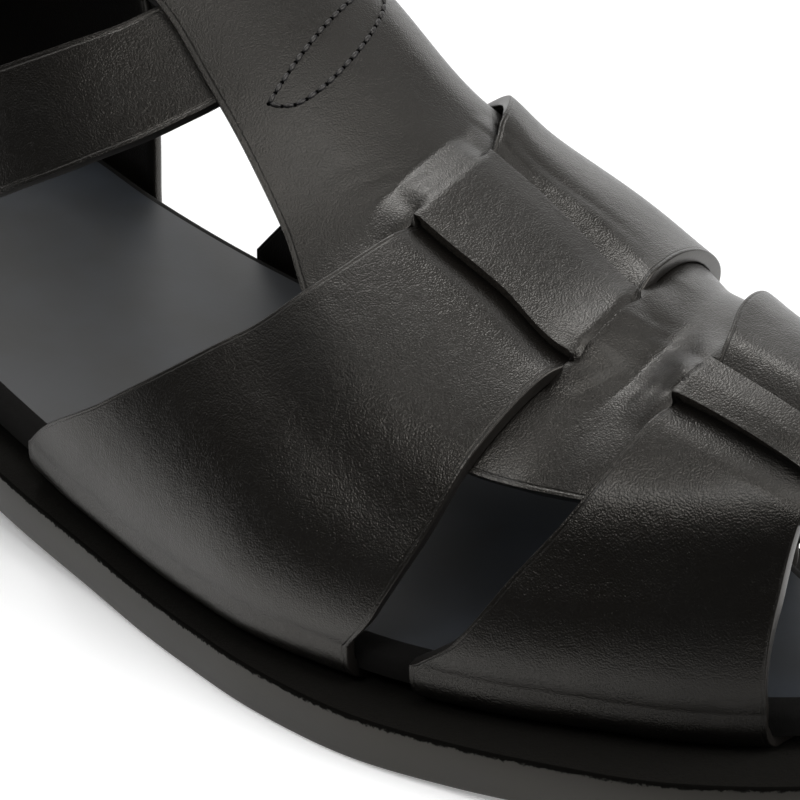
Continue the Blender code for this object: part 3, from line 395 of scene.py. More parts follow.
def to_object(bm, name, materials, edge_mm=None):
    """Makes a finished bmesh an object. edge_mm gives a point's distance from the cut edge, for materials."""
    mesh = bpy.data.meshes.new(name)
    bm.to_mesh(mesh)
    if edge_mm:
        layer = mesh.attributes.new("edge_mm", "FLOAT", "POINT")
        layer.data.foreach_set("value", np.array([edge_mm(vert) for vert in bm.verts], np.float32))
    bm.free()
    for material in materials:
        mesh.materials.append(material)
    mesh.shade_smooth()
    return bpy.data.objects.new(name, mesh)


def flat_grid(shape):
    """A flat bmesh grid with that many rows and columns of points."""
    bm = bmesh.new()
    bmesh.ops.create_grid(bm, x_segments=shape[0] - 1, y_segments=shape[1] - 1, size=1.0)
    return bm


def grid_places(bm, shape):
    """The row and column of each point of a flat grid."""
    ni, nj = shape
    return {vert: (round((vert.co.x + 1) / 2 * (ni - 1)), round((vert.co.y + 1) / 2 * (nj - 1)))
            for vert in bm.verts}


def grid_sheet(name, points, materials, edge_mm):
    """A sheet from an array of points in stations, with the array of their distances from the cut edge."""
    shape = points.shape[:2]
    bm = flat_grid(shape)
    at = grid_places(bm, shape)
    place = (points - MIDDLE) * 0.001
    for vert, spot in at.items():
        vert.co = place[spot]
    bm.normal_update()
    return to_object(bm, name, materials, lambda vert: edge_mm[at[vert]])


# %% [markdown]
# ## Materials
# Everything here is black, so the finishes are told apart by gloss and grain alone. The straps are full-grain
# leather with a pigmented semi-gloss top coat, pressed with a fine pebble. Their edges are cut and inked; the
# slit edges and the sole's margin are raw fibre. The footbed is lined with smooth matte leather.

# %% Material helpers
def srgb(code):
    """Linear colour of an sRGB hex code."""
    parts = [int(code[k:k + 2], 16) / 255 for k in (1, 3, 5)]
    return [c / 12.92 if c <= 0.04045 else ((c + 0.055) / 1.055)**2.4 for c in parts] + [1.0]


def node(tree, kind, settings=None, links=None, values=None):
    """Adds one node with its settings, socket values and incoming links."""
    new = tree.nodes.new(kind)
    for key, value in (settings or {}).items():
        setattr(new, key, value)
    for key, value in (values or {}).items():
        new.inputs[key].default_value = value
    for key, socket in (links or {}).items():
        tree.links.new(socket, new.inputs[key])
    return new


def new_material(name, roughness, coat=0.0, coat_roughness=0.3, ior=1.5):
    """A Principled material whose highlights are a little warm, as the leather's are."""
    material = bpy.data.materials.new(name)
    material.use_nodes = True
    shader = material.node_tree.nodes["Principled BSDF"]
    shader.inputs["Roughness"].default_value = roughness
    shader.inputs["IOR"].default_value = ior
    shader.inputs["Coat Weight"].default_value = coat
    shader.inputs["Coat Roughness"].default_value = coat_roughness
    shader.inputs["Specular Tint"].default_value = (1.0, 0.95, 0.87, 1.0)
    return material, material.node_tree, shader


def speckle(tree, coords, size_mm, detail=2.0, rough=0.5):
    """Noise whose blotches are about size_mm across."""
    return node(tree, "ShaderNodeTexNoise", links={"Vector": coords},
                values={"Scale": 1000.0 / size_mm, "Detail": detail, "Roughness": rough}).outputs["Fac"]


def ramp(tree, value, low, high, to_low, to_high):
    """Maps low to to_low and high to to_high, and stays at them outside."""
    return node(tree, "ShaderNodeMapRange", {"clamp": True}, {"Value": value},
                {"From Min": low, "From Max": high, "To Min": to_low, "To Max": to_high}).outputs["Result"]


def bump(tree, height, depth_mm, under=None, dents=False):
    """Raises the surface by depth_mm where height is 1, or sinks it there for dents."""
    links = {"Height": height}
    if under is not None:
        links["Normal"] = under
    return node(tree, "ShaderNodeBump", {"invert": dents}, links,
                {"Distance": depth_mm * 0.001, "Strength": 1.0}).outputs["Normal"]


def tint(tree, fac, dark, light):
    """A colour between two hex codes."""
    mix = node(tree, "ShaderNodeMix", {"data_type": "RGBA"}, {"Factor": fac})
    mix.inputs[6].default_value = srgb(dark)
    mix.inputs[7].default_value = srgb(light)
    return mix.outputs[2]


# %% Strap leather
# A line is pressed into the grain this far from each cut edge, and fades over this much.
EDGE_LINE = 0.75
LINE_FADE = 0.35


def mottle(tree, shader, pattern, dark, light, full=0.65):
    """Lets the base colour drift between two tones with a pattern."""
    share = ramp(tree, pattern, 0.35, full, 0.0, 1.0)
    tree.links.new(tint(tree, share, dark, light), shader.inputs["Base Color"])


def strap_leather(name, dark, light, roughness, pebble_mm, pebble_depth):
    """Pigmented full-grain leather: pebbles, pores, soft wrinkles and slow changes of tone and gloss."""
    material, tree, shader = new_material(name, roughness, coat=0.12, coat_roughness=0.25)
    coords = node(tree, "ShaderNodeTexCoord").outputs["Object"]
    pebble = node(tree, "ShaderNodeTexVoronoi", {"feature": "SMOOTH_F1"}, {"Vector": coords},
                  {"Scale": 1000.0 / pebble_mm, "Smoothness": 0.35}).outputs["Distance"]
    pores = speckle(tree, coords, 0.22, 2.0, 0.6)
    waves = speckle(tree, coords, 4.0, 3.0, 0.6)
    patches = speckle(tree, coords, 22.0, 4.0, 0.6)
    from_edge = node(tree, "ShaderNodeAttribute", {"attribute_name": "edge_mm"}).outputs["Fac"]
    off_line = node(tree, "ShaderNodeMath", {"operation": "SUBTRACT"}, {0: from_edge}, {1: EDGE_LINE})
    off_line = node(tree, "ShaderNodeMath", {"operation": "ABSOLUTE"}, {0: off_line.outputs["Value"]})
    pressed = node(tree, "ShaderNodeMapRange", {"interpolation_type": "SMOOTHSTEP"},
                   {"Value": off_line.outputs["Value"]},
                   {"From Min": 0.0, "From Max": LINE_FADE, "To Min": 1.0, "To Max": 0.0}).outputs["Result"]
    surface = bump(tree, waves, 0.14)
    surface = bump(tree, pressed, 0.10, surface, dents=True)
    surface = bump(tree, pebble, pebble_depth, surface, dents=True)
    surface = bump(tree, pores, pebble_depth * 0.6, surface)
    tree.links.new(surface, shader.inputs["Normal"])
    mottle(tree, shader, patches, dark, light)
    gloss = ramp(tree, patches, 0.3, 0.7, roughness + 0.05, roughness - 0.05)
    tree.links.new(gloss, shader.inputs["Roughness"])
    return material


STRAP = strap_leather("pebbled_strap_leather", "#0b0a09", "#12100e", 0.32, 0.30, 0.055)


# %% Cut edges, raw edges, sole and footbed
def raw_fibre(name, dark, light, fibre_mm, depth):
    """The fuzzy corium that shows where thick leather is cut and not inked."""
    material, tree, shader = new_material(name, 0.9)
    coords = node(tree, "ShaderNodeTexCoord").outputs["Object"]
    fibres = speckle(tree, coords, fibre_mm, 4.0, 0.7)
    clumps = speckle(tree, coords, fibre_mm * 5, 3.0, 0.6)
    mottle(tree, shader, fibres, dark, light, full=0.7)
    surface = bump(tree, fibres, depth, bump(tree, clumps, depth * 2))
    tree.links.new(surface, shader.inputs["Normal"])
    shader.inputs["Specular IOR Level"].default_value = 0.2
    return material


def smooth_finish(name, dark, light, roughness, grain_mm, depth, coat=0.0):
    """Inked edges, burnished sole sides and lining leather: one quiet tone with a faint grain."""
    material, tree, shader = new_material(name, roughness, coat=coat)
    coords = node(tree, "ShaderNodeTexCoord").outputs["Object"]
    grain = speckle(tree, coords, grain_mm, 3.0, 0.6)
    patches = speckle(tree, coords, 15.0, 3.0, 0.5)
    mottle(tree, shader, patches, dark, light)
    tree.links.new(bump(tree, grain, depth), shader.inputs["Normal"])
    return material


INKED_EDGE = smooth_finish("inked_cut_edge", "#131110", "#1a1816", 0.34, 0.5, 0.02)
RAW_EDGE = raw_fibre("raw_cut_edge", "#0b0a09", "#45403a", 0.40, 0.16)
MARGIN = raw_fibre("raw_sole_margin", "#040403", "#0d0c0a", 0.30, 0.12)
SOLE_SIDE = smooth_finish("burnished_sole_side", "#0f0e0c", "#15140f", 0.36, 0.8, 0.006)
FOOTBED = smooth_finish("footbed_lining", "#1e2227", "#262b32", 0.52, 0.6, 0.012)
# The footbed's side has the fibre texture of a raw board edge, and its tone is taken down to near black as
# painted shade.
BED_EDGE_AND_SHADE = raw_fibre("footbed_board_edge_and_painted_shade", "#060606", "#0c0c0d", 0.30, 0.05)
RUBBER = smooth_finish("moulded_heel_rubber", "#121212", "#181818", 0.75, 0.4, 0.05)
THREAD = smooth_finish("bonded_nylon_thread", "#121213", "#1c1c20", 0.42, 0.15, 0.03)
# Nickel plate over bent wire: a mirror that faint drawing marks soften.
STEEL, steel_tree, steel_shader = new_material("nickel_plated_wire", 0.22)
steel_shader.inputs["Metallic"].default_value = 1.0
steel_shader.inputs["Base Color"].default_value = srgb("#b9b6b0")
steel_coords = node(steel_tree, "ShaderNodeTexCoord").outputs["Object"]
drawn = bump(steel_tree, speckle(steel_tree, steel_coords, 0.6), 0.004)
steel_tree.links.new(drawn, steel_shader.inputs["Normal"])
print("materials", len(bpy.data.materials))

# %% Stain along the sole's edge
# The margin's dark stain runs this far down the sole's side, in an uneven line with a soft edge.
STAIN_DEEP = 0.7
STAIN_WAVER = 0.55
STAIN_SOFT = 0.12


def stain_edge(material):
    """Darkens and dulls a slab's side below its top, by the edge_mm that the slab stores."""
    tree = material.node_tree
    shader = tree.nodes["Principled BSDF"]
    coords = node(tree, "ShaderNodeTexCoord").outputs["Object"]
    below_top = node(tree, "ShaderNodeAttribute", {"attribute_name": "edge_mm"}).outputs["Fac"]
    waver = ramp(tree, speckle(tree, coords, 0.9, 5.0, 0.75), 0.25, 0.75, -STAIN_WAVER, STAIN_WAVER)
    depth = node(tree, "ShaderNodeMath", {"operation": "ADD"}, {0: below_top, 1: waver}).outputs["Value"]
    stain = ramp(tree, depth, STAIN_DEEP - STAIN_SOFT, STAIN_DEEP + STAIN_SOFT, 1.0, 0.0)
    clean = shader.inputs["Base Color"].links[0].from_socket
    stained = node(tree, "ShaderNodeMix", {"data_type": "RGBA"}, {"Factor": stain, 6: clean})
    stained.inputs[7].default_value = srgb("#050504")
    tree.links.new(stained.outputs[2], shader.inputs["Base Color"])
    tree.links.new(ramp(tree, stain, 0.0, 1.0, 0.36, 0.95), shader.inputs["Roughness"])
    tree.links.new(ramp(tree, stain, 0.0, 1.0, 0.5, 0.08), shader.inputs["Specular IOR Level"])


stain_edge(SOLE_SIDE)

# %% [markdown]
# ## The spine strap
# The spine is one wide strap with two pairs of slits. The real one is cut flat, slit, and the strip between
# the slits is lifted so that a cross strap can pass beneath. The mesh is made the same way: the grid's edges
# are split along the slits with `bmesh.ops.split_edges`, and the middle strip is raised.

# %% Spine grid
ACROSS = [across_foot(t) for t in (SPINE_BACK, REAR_BACK, REAR_FRONT, FRONT_BACK, FRONT_FRONT)] + [spine_end]
ALONG = [along_foot(t) for t in (SPINE_OUTER, OUTER_SLIT, INNER_SLIT, SPINE_INNER)]
# How many grid rows and columns lie between one of these lines and the next.
ROWS = (80, 60, 36, 44, 14)
COLUMNS = (34, 28, 44)
spine_x, spine_v = crossings(fan(ACROSS, ROWS), fan(ALONG, COLUMNS))
row_at = np.r_[0, np.cumsum(ROWS)]
column_at = np.r_[0, np.cumsum(COLUMNS)]
SLIT_ROWS = ((row_at[1], row_at[2]), (row_at[3], row_at[4]))
SLIT_COLUMNS = (column_at[1], column_at[2])
column = np.broadcast_to(np.arange(spine_x.shape[1]), spine_x.shape)
in_mid = (column >= SLIT_COLUMNS[0]) & (column <= SLIT_COLUMNS[1])
spine_mm = girth_mm(spine_x, spine_v)
to_outer_slit = np.abs(spine_v - along_foot(OUTER_SLIT)(spine_x)) * spine_mm
to_inner_slit = np.abs(spine_v - along_foot(INNER_SLIT)(spine_x)) * spine_mm
to_slit = np.minimum(to_outer_slit, to_inner_slit)


def beyond(back, front):
    """Millimetres along the foot outside a cross strap, negative inside it."""
    behind = across_foot(back)(spine_v) - spine_x
    ahead = spine_x - across_foot(front)(spine_v)
    return np.maximum(behind, ahead)


beyond_rear = beyond(REAR_BACK, REAR_FRONT)
beyond_front = beyond(FRONT_BACK, FRONT_FRONT)
to_strap = np.maximum(np.minimum(beyond_rear, beyond_front), 0.0)
inside_strap = np.minimum(beyond_rear, beyond_front) < 0.01
print("spine grid", spine_x.shape)

# %% Heights on the spine
# The middle of the leather over the last where it lies flat, where it bridges a cross strap, and how far a
# slit's outer lip is pressed down.
FLAT = LEATHER / 2
BRIDGE = 1.5 * LEATHER + 0.45
LIP_DROP = 0.9 * LEATHER
# The middle strip climbs over CLIMB, is lifted by this share at its own edges, and is a little crowned.
CLIMB = 11.0
EDGE_SHARE = 0.55
CROWN = 0.25
inward = smooth(to_slit / 4.0)
across_share = np.where(in_mid, EDGE_SHARE + (1 - EDGE_SHARE) * inward,
                        EDGE_SHARE * (1 - smooth(to_slit / 7.0)))
near_strap = FLAT + (BRIDGE - FLAT) * across_share * (1 - smooth(to_strap / CLIMB))
mid_height = np.where(inside_strap, BRIDGE + CROWN * inward, near_strap)
side_height = np.where(inside_strap, FLAT - LIP_DROP * (1 - smooth(to_slit / 6.0)), near_strap)
lifted = np.where(in_mid, mid_height, side_height)

# At the back the spine rises to LOOP_HIGH over the ankle strap that its fold holds.
LOOP_HIGH = 5.5
LOOP_FADE = 36.0
past_loop = spine_x - across_foot(LOOP_FRONT)(spine_v)
loop = FLAT + (LOOP_HIGH - FLAT) * (1 - smooth((past_loop + 2.0) / LOOP_FADE))
height = np.where(inside_strap, lifted, np.maximum(lifted, loop))

# The spine sags a little between the two cross straps.
SAG = 0.78
behind_front = smooth((across_foot(FRONT_BACK)(spine_v) - spine_x) / 9.0)
ahead_of_rear = smooth((spine_x - across_foot(REAR_FRONT)(spine_v)) / 9.0)
height = height - np.where(inside_strap, 0.0, SAG * behind_front * ahead_of_rear)
print("spine heights", round(float(height.min()), 2), "to", round(float(height.max()), 2), "mm")

# %% [markdown]
# ### Creases one by one
# Where the middle strip climbs over a cross strap the grain side is pinched and wrinkles. Each wrinkle is a
# soft trough with its own place, direction, length and depth, as a row of a short table.

# %% Creases on the spine
# Station, girth, direction in degrees from the foot's length, length, width and depth in millimetres.
CREASES = [
    (175, 0.388, 66, 10, 1.6, 0.10), (178.6, 0.394, 73, 9, 1.4, 0.12), (171.5, 0.384, 60, 9, 1.7, 0.07),
    (181.9, 0.404, 80, 6, 1.2, 0.08), (229, 0.338, 62, 7, 1.3, 0.12), (226.2, 0.344, 56, 6, 1.3, 0.08),
    (239, 0.358, 82, 7.5, 1.2, 0.13), (235.9, 0.352, 76, 7, 1.3, 0.10), (232.6, 0.346, 68, 7, 1.5, 0.07),
    (228.6, 0.436, 24, 16, 1.3, 0.10), (231.4, 0.424, 27, 15, 1.3, 0.10), (234, 0.412, 30, 12, 1.3, 0.07),
    (179, 0.470, -62, 8, 1.4, 0.09), (182, 0.462, -66, 7, 1.3, 0.07)]


def creased(x, v, mm):
    """Depth of all the wrinkles at places on the last."""
    depth = np.zeros_like(x)
    for cx, cv, turn, length, width, deep in CREASES:
        a = math.radians(turn)
        dx = x - cx
        dv = (v - cv) * mm
        along = dx * math.cos(a) + dv * math.sin(a)
        aside = -dx * math.sin(a) + dv * math.cos(a) + 0.04 * along**2 / length
        fade = np.exp(-(along / (0.5 * length))**4)
        depth += deep * fade * (1 - (aside / width)**2) * np.exp(-(aside / width)**2)
    return depth


height = height - creased(spine_x, spine_v, spine_mm)
spine_points = on_last(spine_x, spine_v, height)

# %% [markdown]
# ### Turning the spine's end over
# Behind the instep the spine is folded back under itself, and the fold holds the ankle strap. The fold is a
# half turn of the same leather, so extra rows carry the grid round it and back under the strap.

# %% Fold
FOLD_STEPS = 12
UNDER_STEPS = 24
UNDER_LENGTH = 30.0
# The turned-under end lies this far over the last.
UNDER_OFF = 0.1
fold_radius = (LOOP_HIGH - UNDER_OFF) / 2
back_x = spine_x[0]
back_v = spine_v[0]
fold = []
for k in range(UNDER_STEPS, 0, -1):
    fold.append(on_last(back_x + UNDER_LENGTH * k / UNDER_STEPS, back_v, UNDER_OFF))
for k in range(FOLD_STEPS):
    a = math.pi * k / FOLD_STEPS
    rise = fold_radius * (1 - math.cos(a))
    fold.append(on_last(back_x - fold_radius * math.sin(a), back_v, UNDER_OFF + rise))
FOLD_ROWS = len(fold)
spine_all = np.concatenate([np.array(fold), spine_points], axis=0)

# Each point's distance from the cut edge; the turned-under end counts as far from it.
FAR = 99.0
side_mm = np.linalg.norm(np.diff(spine_all, axis=1), axis=2)
from_outer = np.cumsum(np.c_[np.zeros(len(spine_all)), side_mm], axis=1)
front_mm = np.r_[np.full(FOLD_ROWS, FAR), np.max(spine_end(spine_v) - spine_x, axis=1)]
spine_edge_mm = np.minimum(from_outer, from_outer[:, -1:] - from_outer)
spine_edge_mm = np.minimum(spine_edge_mm, front_mm[:, None])
print("fold", FOLD_ROWS, "rows")


# %% Spine piece
# The outermost columns, whose cut edges are inked; the slits' cut edges stay raw.
INKED_COLUMNS = 6


def cut_slits(bm, shape):
    """Splits a flat grid along the slits; gives each point's row and column, and the slits' outer lips."""
    at = grid_places(bm, shape)
    slits = []
    for edge in bm.edges:
        (i, j), (k, m) = (at[vert] for vert in edge.verts)
        rows = (min(i, k) - FOLD_ROWS, max(i, k) - FOLD_ROWS)
        if j == m and j in SLIT_COLUMNS and any(a <= rows[0] and rows[1] <= b for a, b in SLIT_ROWS):
            slits.append(edge)
    bmesh.ops.split_edges(bm, edges=slits)
    at = grid_places(bm, shape)
    lips = []
    for vert, (i, j) in at.items():
        if j in SLIT_COLUMNS and any(a < i - FOLD_ROWS < b for a, b in SLIT_ROWS):
            middles = [face.calc_center_median().y for face in vert.link_faces]
            beside = (sum(middles) / len(middles) + 1) / 2 * (shape[1] - 1)
            if not SLIT_COLUMNS[0] < beside < SLIT_COLUMNS[1]:
                lips.append(vert)
    return at, lips


def spine_sheet():
    """The whole spine on the last, with the slits open and their outer lips pressed down."""
    shape = spine_all.shape[:2]
    bm = flat_grid(shape)
    at, lips = cut_slits(bm, shape)
    place = (spine_all - MIDDLE) * 0.001
    for vert, spot in at.items():
        vert.co = place[spot]
    for vert in lips:
        i, j = at[vert][0] - FOLD_ROWS, at[vert][1]
        vert.co = metres(on_last(spine_x[i, j], spine_v[i, j], FLAT - LIP_DROP))
    for face in bm.faces:
        columns = [at[vert][1] for vert in face.verts]
        if INKED_COLUMNS < min(columns) and max(columns) < shape[1] - 1 - INKED_COLUMNS:
            face.material_index = 2
    bm.normal_update()
    return to_object(bm, "spine_strap", (STRAP, INKED_EDGE, STRAP, RAW_EDGE),
                     lambda vert: spine_edge_mm[at[vert]])


spine = keep_piece(add_thickness(spine_sheet(), LEATHER, 0.28), "upper", slot="strap_leather")
print("spine strap", len(spine.data.polygons), "faces")


# %% [markdown]
# ## The cross straps
# Both cross straps are the same idea: a sheet from the tail under the footbed's outer edge, up over the
# spine's sides, down through the slits under the middle strip, and down to the other tail. Only the height
# over the last changes along the way, so one function gives it for both.

# %% Cross straps
# The middle of the leather over the last where a cross strap lies on the spine's sides.
OVER = 1.5 * LEATHER + 0.1


def cross_strap(name, back, front, count_along, count_across, slack):
    """A strap between two edge tables. Its rear edge bows up by slack on the far side of the weave."""
    turned_in = np.r_[np.linspace(-1.0, -0.42, 4), np.linspace(-0.4, -0.2, 9),
                      np.linspace(-0.15, -0.03, 4)]
    girths = np.r_[turned_in, np.linspace(0.0, 1.0, count_along), 1.0 - turned_in[::-1]]
    share = np.linspace(0, 1, count_across)[:, None]
    v = np.ones((count_across, 1)) * girths[None, :]
    clipped = np.clip(v, 0, 1)
    x = (1 - share) * table(back, clipped) + share * table(front, clipped)
    mm = girth_mm(x, v)
    outside = np.maximum(along_foot(SPINE_OUTER)(x) - v, v - along_foot(SPINE_INNER)(x)) * mm
    to_mid = np.maximum(along_foot(OUTER_SLIT)(x) - v, v - along_foot(INNER_SLIT)(x)) * mm
    height = FLAT + (OVER - FLAT) * (1 - smooth((outside + 3.0) / 16.0))
    height = height - (OVER - FLAT - 0.05) * (1 - smooth((to_mid + 1.0) / 6.5))
    height = height + slack * np.exp(-((v - 0.53) * mm / 9.0)**2) * np.exp(-(share / 0.16)**2)
    points = on_last(x, v, height)
    width_mm = np.sum(np.linalg.norm(np.diff(points, axis=0), axis=2), axis=0)
    edge_mm = np.minimum(share, 1 - share) * width_mm[None, :]
    return grid_sheet(name, points, (STRAP, INKED_EDGE), edge_mm)


for strap in (cross_strap("rear_cross_strap", REAR_BACK, REAR_FRONT, 190, 66, slack=1.5),
              cross_strap("front_cross_strap", FRONT_BACK, FRONT_FRONT, 170, 46, slack=0.5)):
    keep_piece(add_thickness(strap, LEATHER, 0.3), "upper", slot="strap_leather")
    print(strap.name, len(strap.data.polygons), "faces")

# %% [markdown]
# ## The ankle strap
# This strap runs through the spine's fold and along the foot to the buckle. It is laid along a centre line on
# the last; at each place the width is set out square to that line.

# %% Ankle strap
ANKLE_LINE = np.array([
    (50, 0.094), (62, 0.100), (74, 0.110), (86, 0.128), (97, 0.154), (108, 0.190), (119, 0.234),
    (130, 0.288), (138, 0.343), (141.5, 0.390), (142, 0.440), (139, 0.490), (133, 0.545),
    (123, 0.610), (110, 0.680), (95, 0.745), (78, 0.800), (62, 0.840), (50, 0.860)])
ANKLE_HALF_WIDTH = 10.0
# The strap's thickness, the height of its underside over the last, and where the buckle's bar crosses it.
ANKLE = 2.0
ANKLE_OFF = 2.3
BAR = 34.0
centres = on_last(ANKLE_LINE[:, 0], ANKLE_LINE[:, 1])
lengths = np.r_[0, np.cumsum(np.linalg.norm(np.diff(centres, axis=0), axis=1))]
CENTRE = np.column_stack([lengths, ANKLE_LINE])
FULL = lengths[-1]


def ribbon(s, w, off):
    """Points at distance s along the ankle line, w across it and off above the last."""
    s, w, off = np.broadcast_arrays(np.asarray(s, float), np.asarray(w, float), np.asarray(off, float))
    x = table(CENTRE, s, 1)
    v = table(CENTRE, s, 2)
    ahead = on_last(table(CENTRE, s + 0.5, 1), table(CENTRE, s + 0.5, 2))
    behind = on_last(table(CENTRE, s - 0.5, 1), table(CENTRE, s - 0.5, 2))
    across = np.cross(on_last(x, v, 1.0) - on_last(x, v), ahead - behind)
    across = across / np.linalg.norm(across, axis=-1)[..., None] * w[..., None]
    # The step across as a step in station and one in girth, from the two directions on the last.
    px = (on_last(x + 1.0, v) - on_last(x - 1.0, v)) / 2
    pv = (on_last(x, v + 0.01) - on_last(x, v - 0.01)) / 0.02
    a = np.sum(px * px, -1)
    b = np.sum(px * pv, -1)
    c = np.sum(pv * pv, -1)
    d = np.sum(px * across, -1)
    e = np.sum(pv * across, -1)
    det = a * c - b * b
    return on_last(x + (c * d - b * e) / det, v + (a * e - b * d) / det, off)


# Distance along the line and height over the last of the strap's underside, as on the built model.
STRAP_PATH = np.array([
    (BAR - 30, 6.2), (BAR - 24, 6.2), (BAR - 17, 6.3), (BAR - 11, 7.0), (BAR - 6, 8.6), (BAR - 2, 9.7),
    (BAR + 1.5, 9.8), (BAR + 4.0, 8.9), (BAR + 6.5, 6.9), (BAR + 9.0, 4.5), (BAR + 11.5, 2.8),
    (BAR + 14.0, ANKLE_OFF), (BAR + 17.0, ANKLE_OFF), (FULL - 11.0, ANKLE_OFF)])
distance = np.linspace(STRAP_PATH[0, 0], STRAP_PATH[-1, 0], 260)[:, None]
width = np.linspace(-ANKLE_HALF_WIDTH, ANKLE_HALF_WIDTH, 22)[None, :]
under = table(STRAP_PATH, distance)
ankle_points = ribbon(distance, width, under + ANKLE / 2)
ankle_edge = (ANKLE_HALF_WIDTH - np.abs(width)) * np.ones_like(distance)
ankle = grid_sheet("ankle_strap_leather", ankle_points, (STRAP, INKED_EDGE), ankle_edge)
keep_piece(add_thickness(ankle, ANKLE, 0.3), "ankle_strap", slot="strap_leather")
print("ankle strap", round(float(FULL), 1), "mm of centre line")

# %% [markdown]
# ## Heel counter, sole and heel
# These pieces are right as built but their faces are coarse. A copy of each is merged, its long triangles are
# joined back to quads, its hard edges are creased, and a Subdivision Surface rounds what is left.

# %% Refined copies
def refined(name, new_name, material, levels, edge_crease=0.9):
    """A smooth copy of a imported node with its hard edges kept."""
    bm = bmesh.new()
    bm.from_mesh(nodes[name].data)
    bmesh.ops.remove_doubles(bm, verts=bm.verts, dist=1e-6)
    bmesh.ops.join_triangles(bm, faces=bm.faces, angle_face_threshold=math.radians(12),
                             angle_shape_threshold=math.radians(50))
    crease = bm.edges.layers.float.new("crease_edge")
    for edge in bm.edges:
        if len(edge.link_faces) == 2 and edge.calc_face_angle() > math.radians(40):
            edge[crease] = edge_crease
    for face in bm.faces:
        face.material_index = 0
    obj = to_object(bm, new_name, (material,))
    if levels:
        surface = obj.modifiers.new("surface", "SUBSURF")
        surface.levels = levels
        surface.render_levels = levels
    print(new_name, "from", name)
    return obj


keep_piece(refined("heel_counter", "counter_leather", STRAP, 2, 0.6), "heel_counter", slot="strap_leather")
keep_piece(refined("buckle_tab", "buckle_tab_leather", STRAP, 0), "buckle_tab", slot="strap_leather")
keep_piece(refined("keeper", "keeper_leather", STRAP, 2, 0.7), "keeper", slot="strap_leather")

# %% Slabs that follow the outline
# A slab is extruded this high first, and then takes its real heights.
RAW_HIGH = 10.0


def slab(name, ring, z_low, z_high, materials, round_low, round_high, top_material=0):
    """A slab over a plan outline, with heights by station. Its edge_mm is the depth below its top."""
    bm = bmesh.new()
    made = bmesh.ops.create_circle(bm, cap_ends=True, cap_tris=False, segments=len(ring), radius=1.0)
    lower = sorted(made["verts"], key=lambda q: math.atan2(q.co.y, q.co.x) % (2 * math.pi))
    for vert, (x, y) in zip(lower, ring):
        vert.co = metres((x, y, 0.0))
    raised = bmesh.ops.extrude_face_region(bm, geom=bm.faces[:])
    top = {g for g in raised["geom"] if isinstance(g, bmesh.types.BMVert)}
    bmesh.ops.translate(bm, vec=(0, 0, RAW_HIGH * 0.001), verts=list(top))
    bmesh.ops.recalc_face_normals(bm, faces=bm.faces)
    low_edges = [e for e in bm.edges if not any(q in top for q in e.verts)]
    high_edges = [e for e in bm.edges if all(q in top for q in e.verts)]
    for group, width_mm, segments in ((low_edges, round_low, 2), (high_edges, round_high, 4)):
        if width_mm:
            bmesh.ops.bevel(bm, geom=group, offset=width_mm * 0.001, offset_type="OFFSET", affect="EDGES",
                            segments=segments, profile=0.5, material=-1)

    def station(vert):
        return vert.co.x * 1000 + MIDDLE[0]

    for vert in bm.verts:
        upper = vert.co.z * 1000 > RAW_HIGH / 2
        lift = z_high(station(vert)) - RAW_HIGH if upper else z_low(station(vert))
        vert.co.z += float(lift) * 0.001
    caps = [f for f in bm.faces if len(f.verts) > 8]
    for face in caps:
        if face.normal.z > 0.9:
            face.material_index = top_material
    bmesh.ops.triangulate(bm, faces=caps, quad_method="BEAUTY", ngon_method="BEAUTY")
    obj = to_object(bm, name, materials, lambda vert: float(z_high(station(vert))) - vert.co.z * 1000)
    obj.data.set_sharp_from_angle(angle=math.radians(35))
    print(name, len(obj.data.polygons), "faces")
    return obj


def sole_top(x):
    """Height of the sole's upper face at a station."""
    return table(TOP, x)


# %% Sole, footbed and heel
sole = slab("leather_outsole", SOLE_RING, lambda x: np.maximum(sole_top(x) - SOLE_THICK, 0.0), sole_top,
            (SOLE_SIDE, MARGIN), 0.8, 0.35, top_material=1)
keep_piece(sole, "outsole", slot="sole_leather")
# The footbed's side takes the near-black edge finish, which is partly painted shade.
bed = slab("leather_footbed", BED_RING, lambda x: sole_top(x) + 2 * GAP + LEATHER,
           lambda x: sole_top(x) + BED_THICK, (BED_EDGE_AND_SHADE, FOOTBED), 0.0, 2.6, top_material=1)
keep_piece(bed, "footbed", slot="footbed_leather")

HEEL_FRONT = 68.0
LIFT = 3.0
# The gap above and below the heel block.
BLOCK_GAP = 0.25
heel_outer = [tuple(p) for p in SOLE_RING[:HALF] if p[0] < HEEL_FRONT - 2]
heel_inner = [tuple(p) for p in SOLE_RING[HALF:] if p[0] < HEEL_FRONT - 2]
breast = [(HEEL_FRONT, -36.6), (HEEL_FRONT - 3.5, -18), (HEEL_FRONT - 5, -1.5), (HEEL_FRONT - 3.5, 15),
          (HEEL_FRONT, 32.7)]
heel_ring = np.array(heel_outer + breast + heel_inner)
block = slab("stacked_heel_block", heel_ring, lambda x: LIFT + BLOCK_GAP,
             lambda x: sole_top(x) - SOLE_THICK - BLOCK_GAP, (SOLE_SIDE, SOLE_SIDE), 0.0, 0.0)
keep_piece(block, "heel_block", slot="sole_leather")
lift = slab("rubber_heel_lift", heel_ring, lambda x: 0.0, lambda x: LIFT, (RUBBER, RUBBER), 0.5, 0.0)
keep_piece(lift, "heel_lift", slot="lift_rubber")

# %% [markdown]
# ## Buckle
# The buckle is a bent wire frame with a prong. Both are right as built, so they keep their shape and take a
# plated finish.

# %% Buckle
keep_piece(refined("buckle_frame", "buckle_wire", STEEL, 2), "buckle_frame", slot="buckle_metal")
keep_piece(refined("buckle_prong", "prong_wire", STEEL, 2, 0.5), "buckle_prong", slot="buckle_metal")
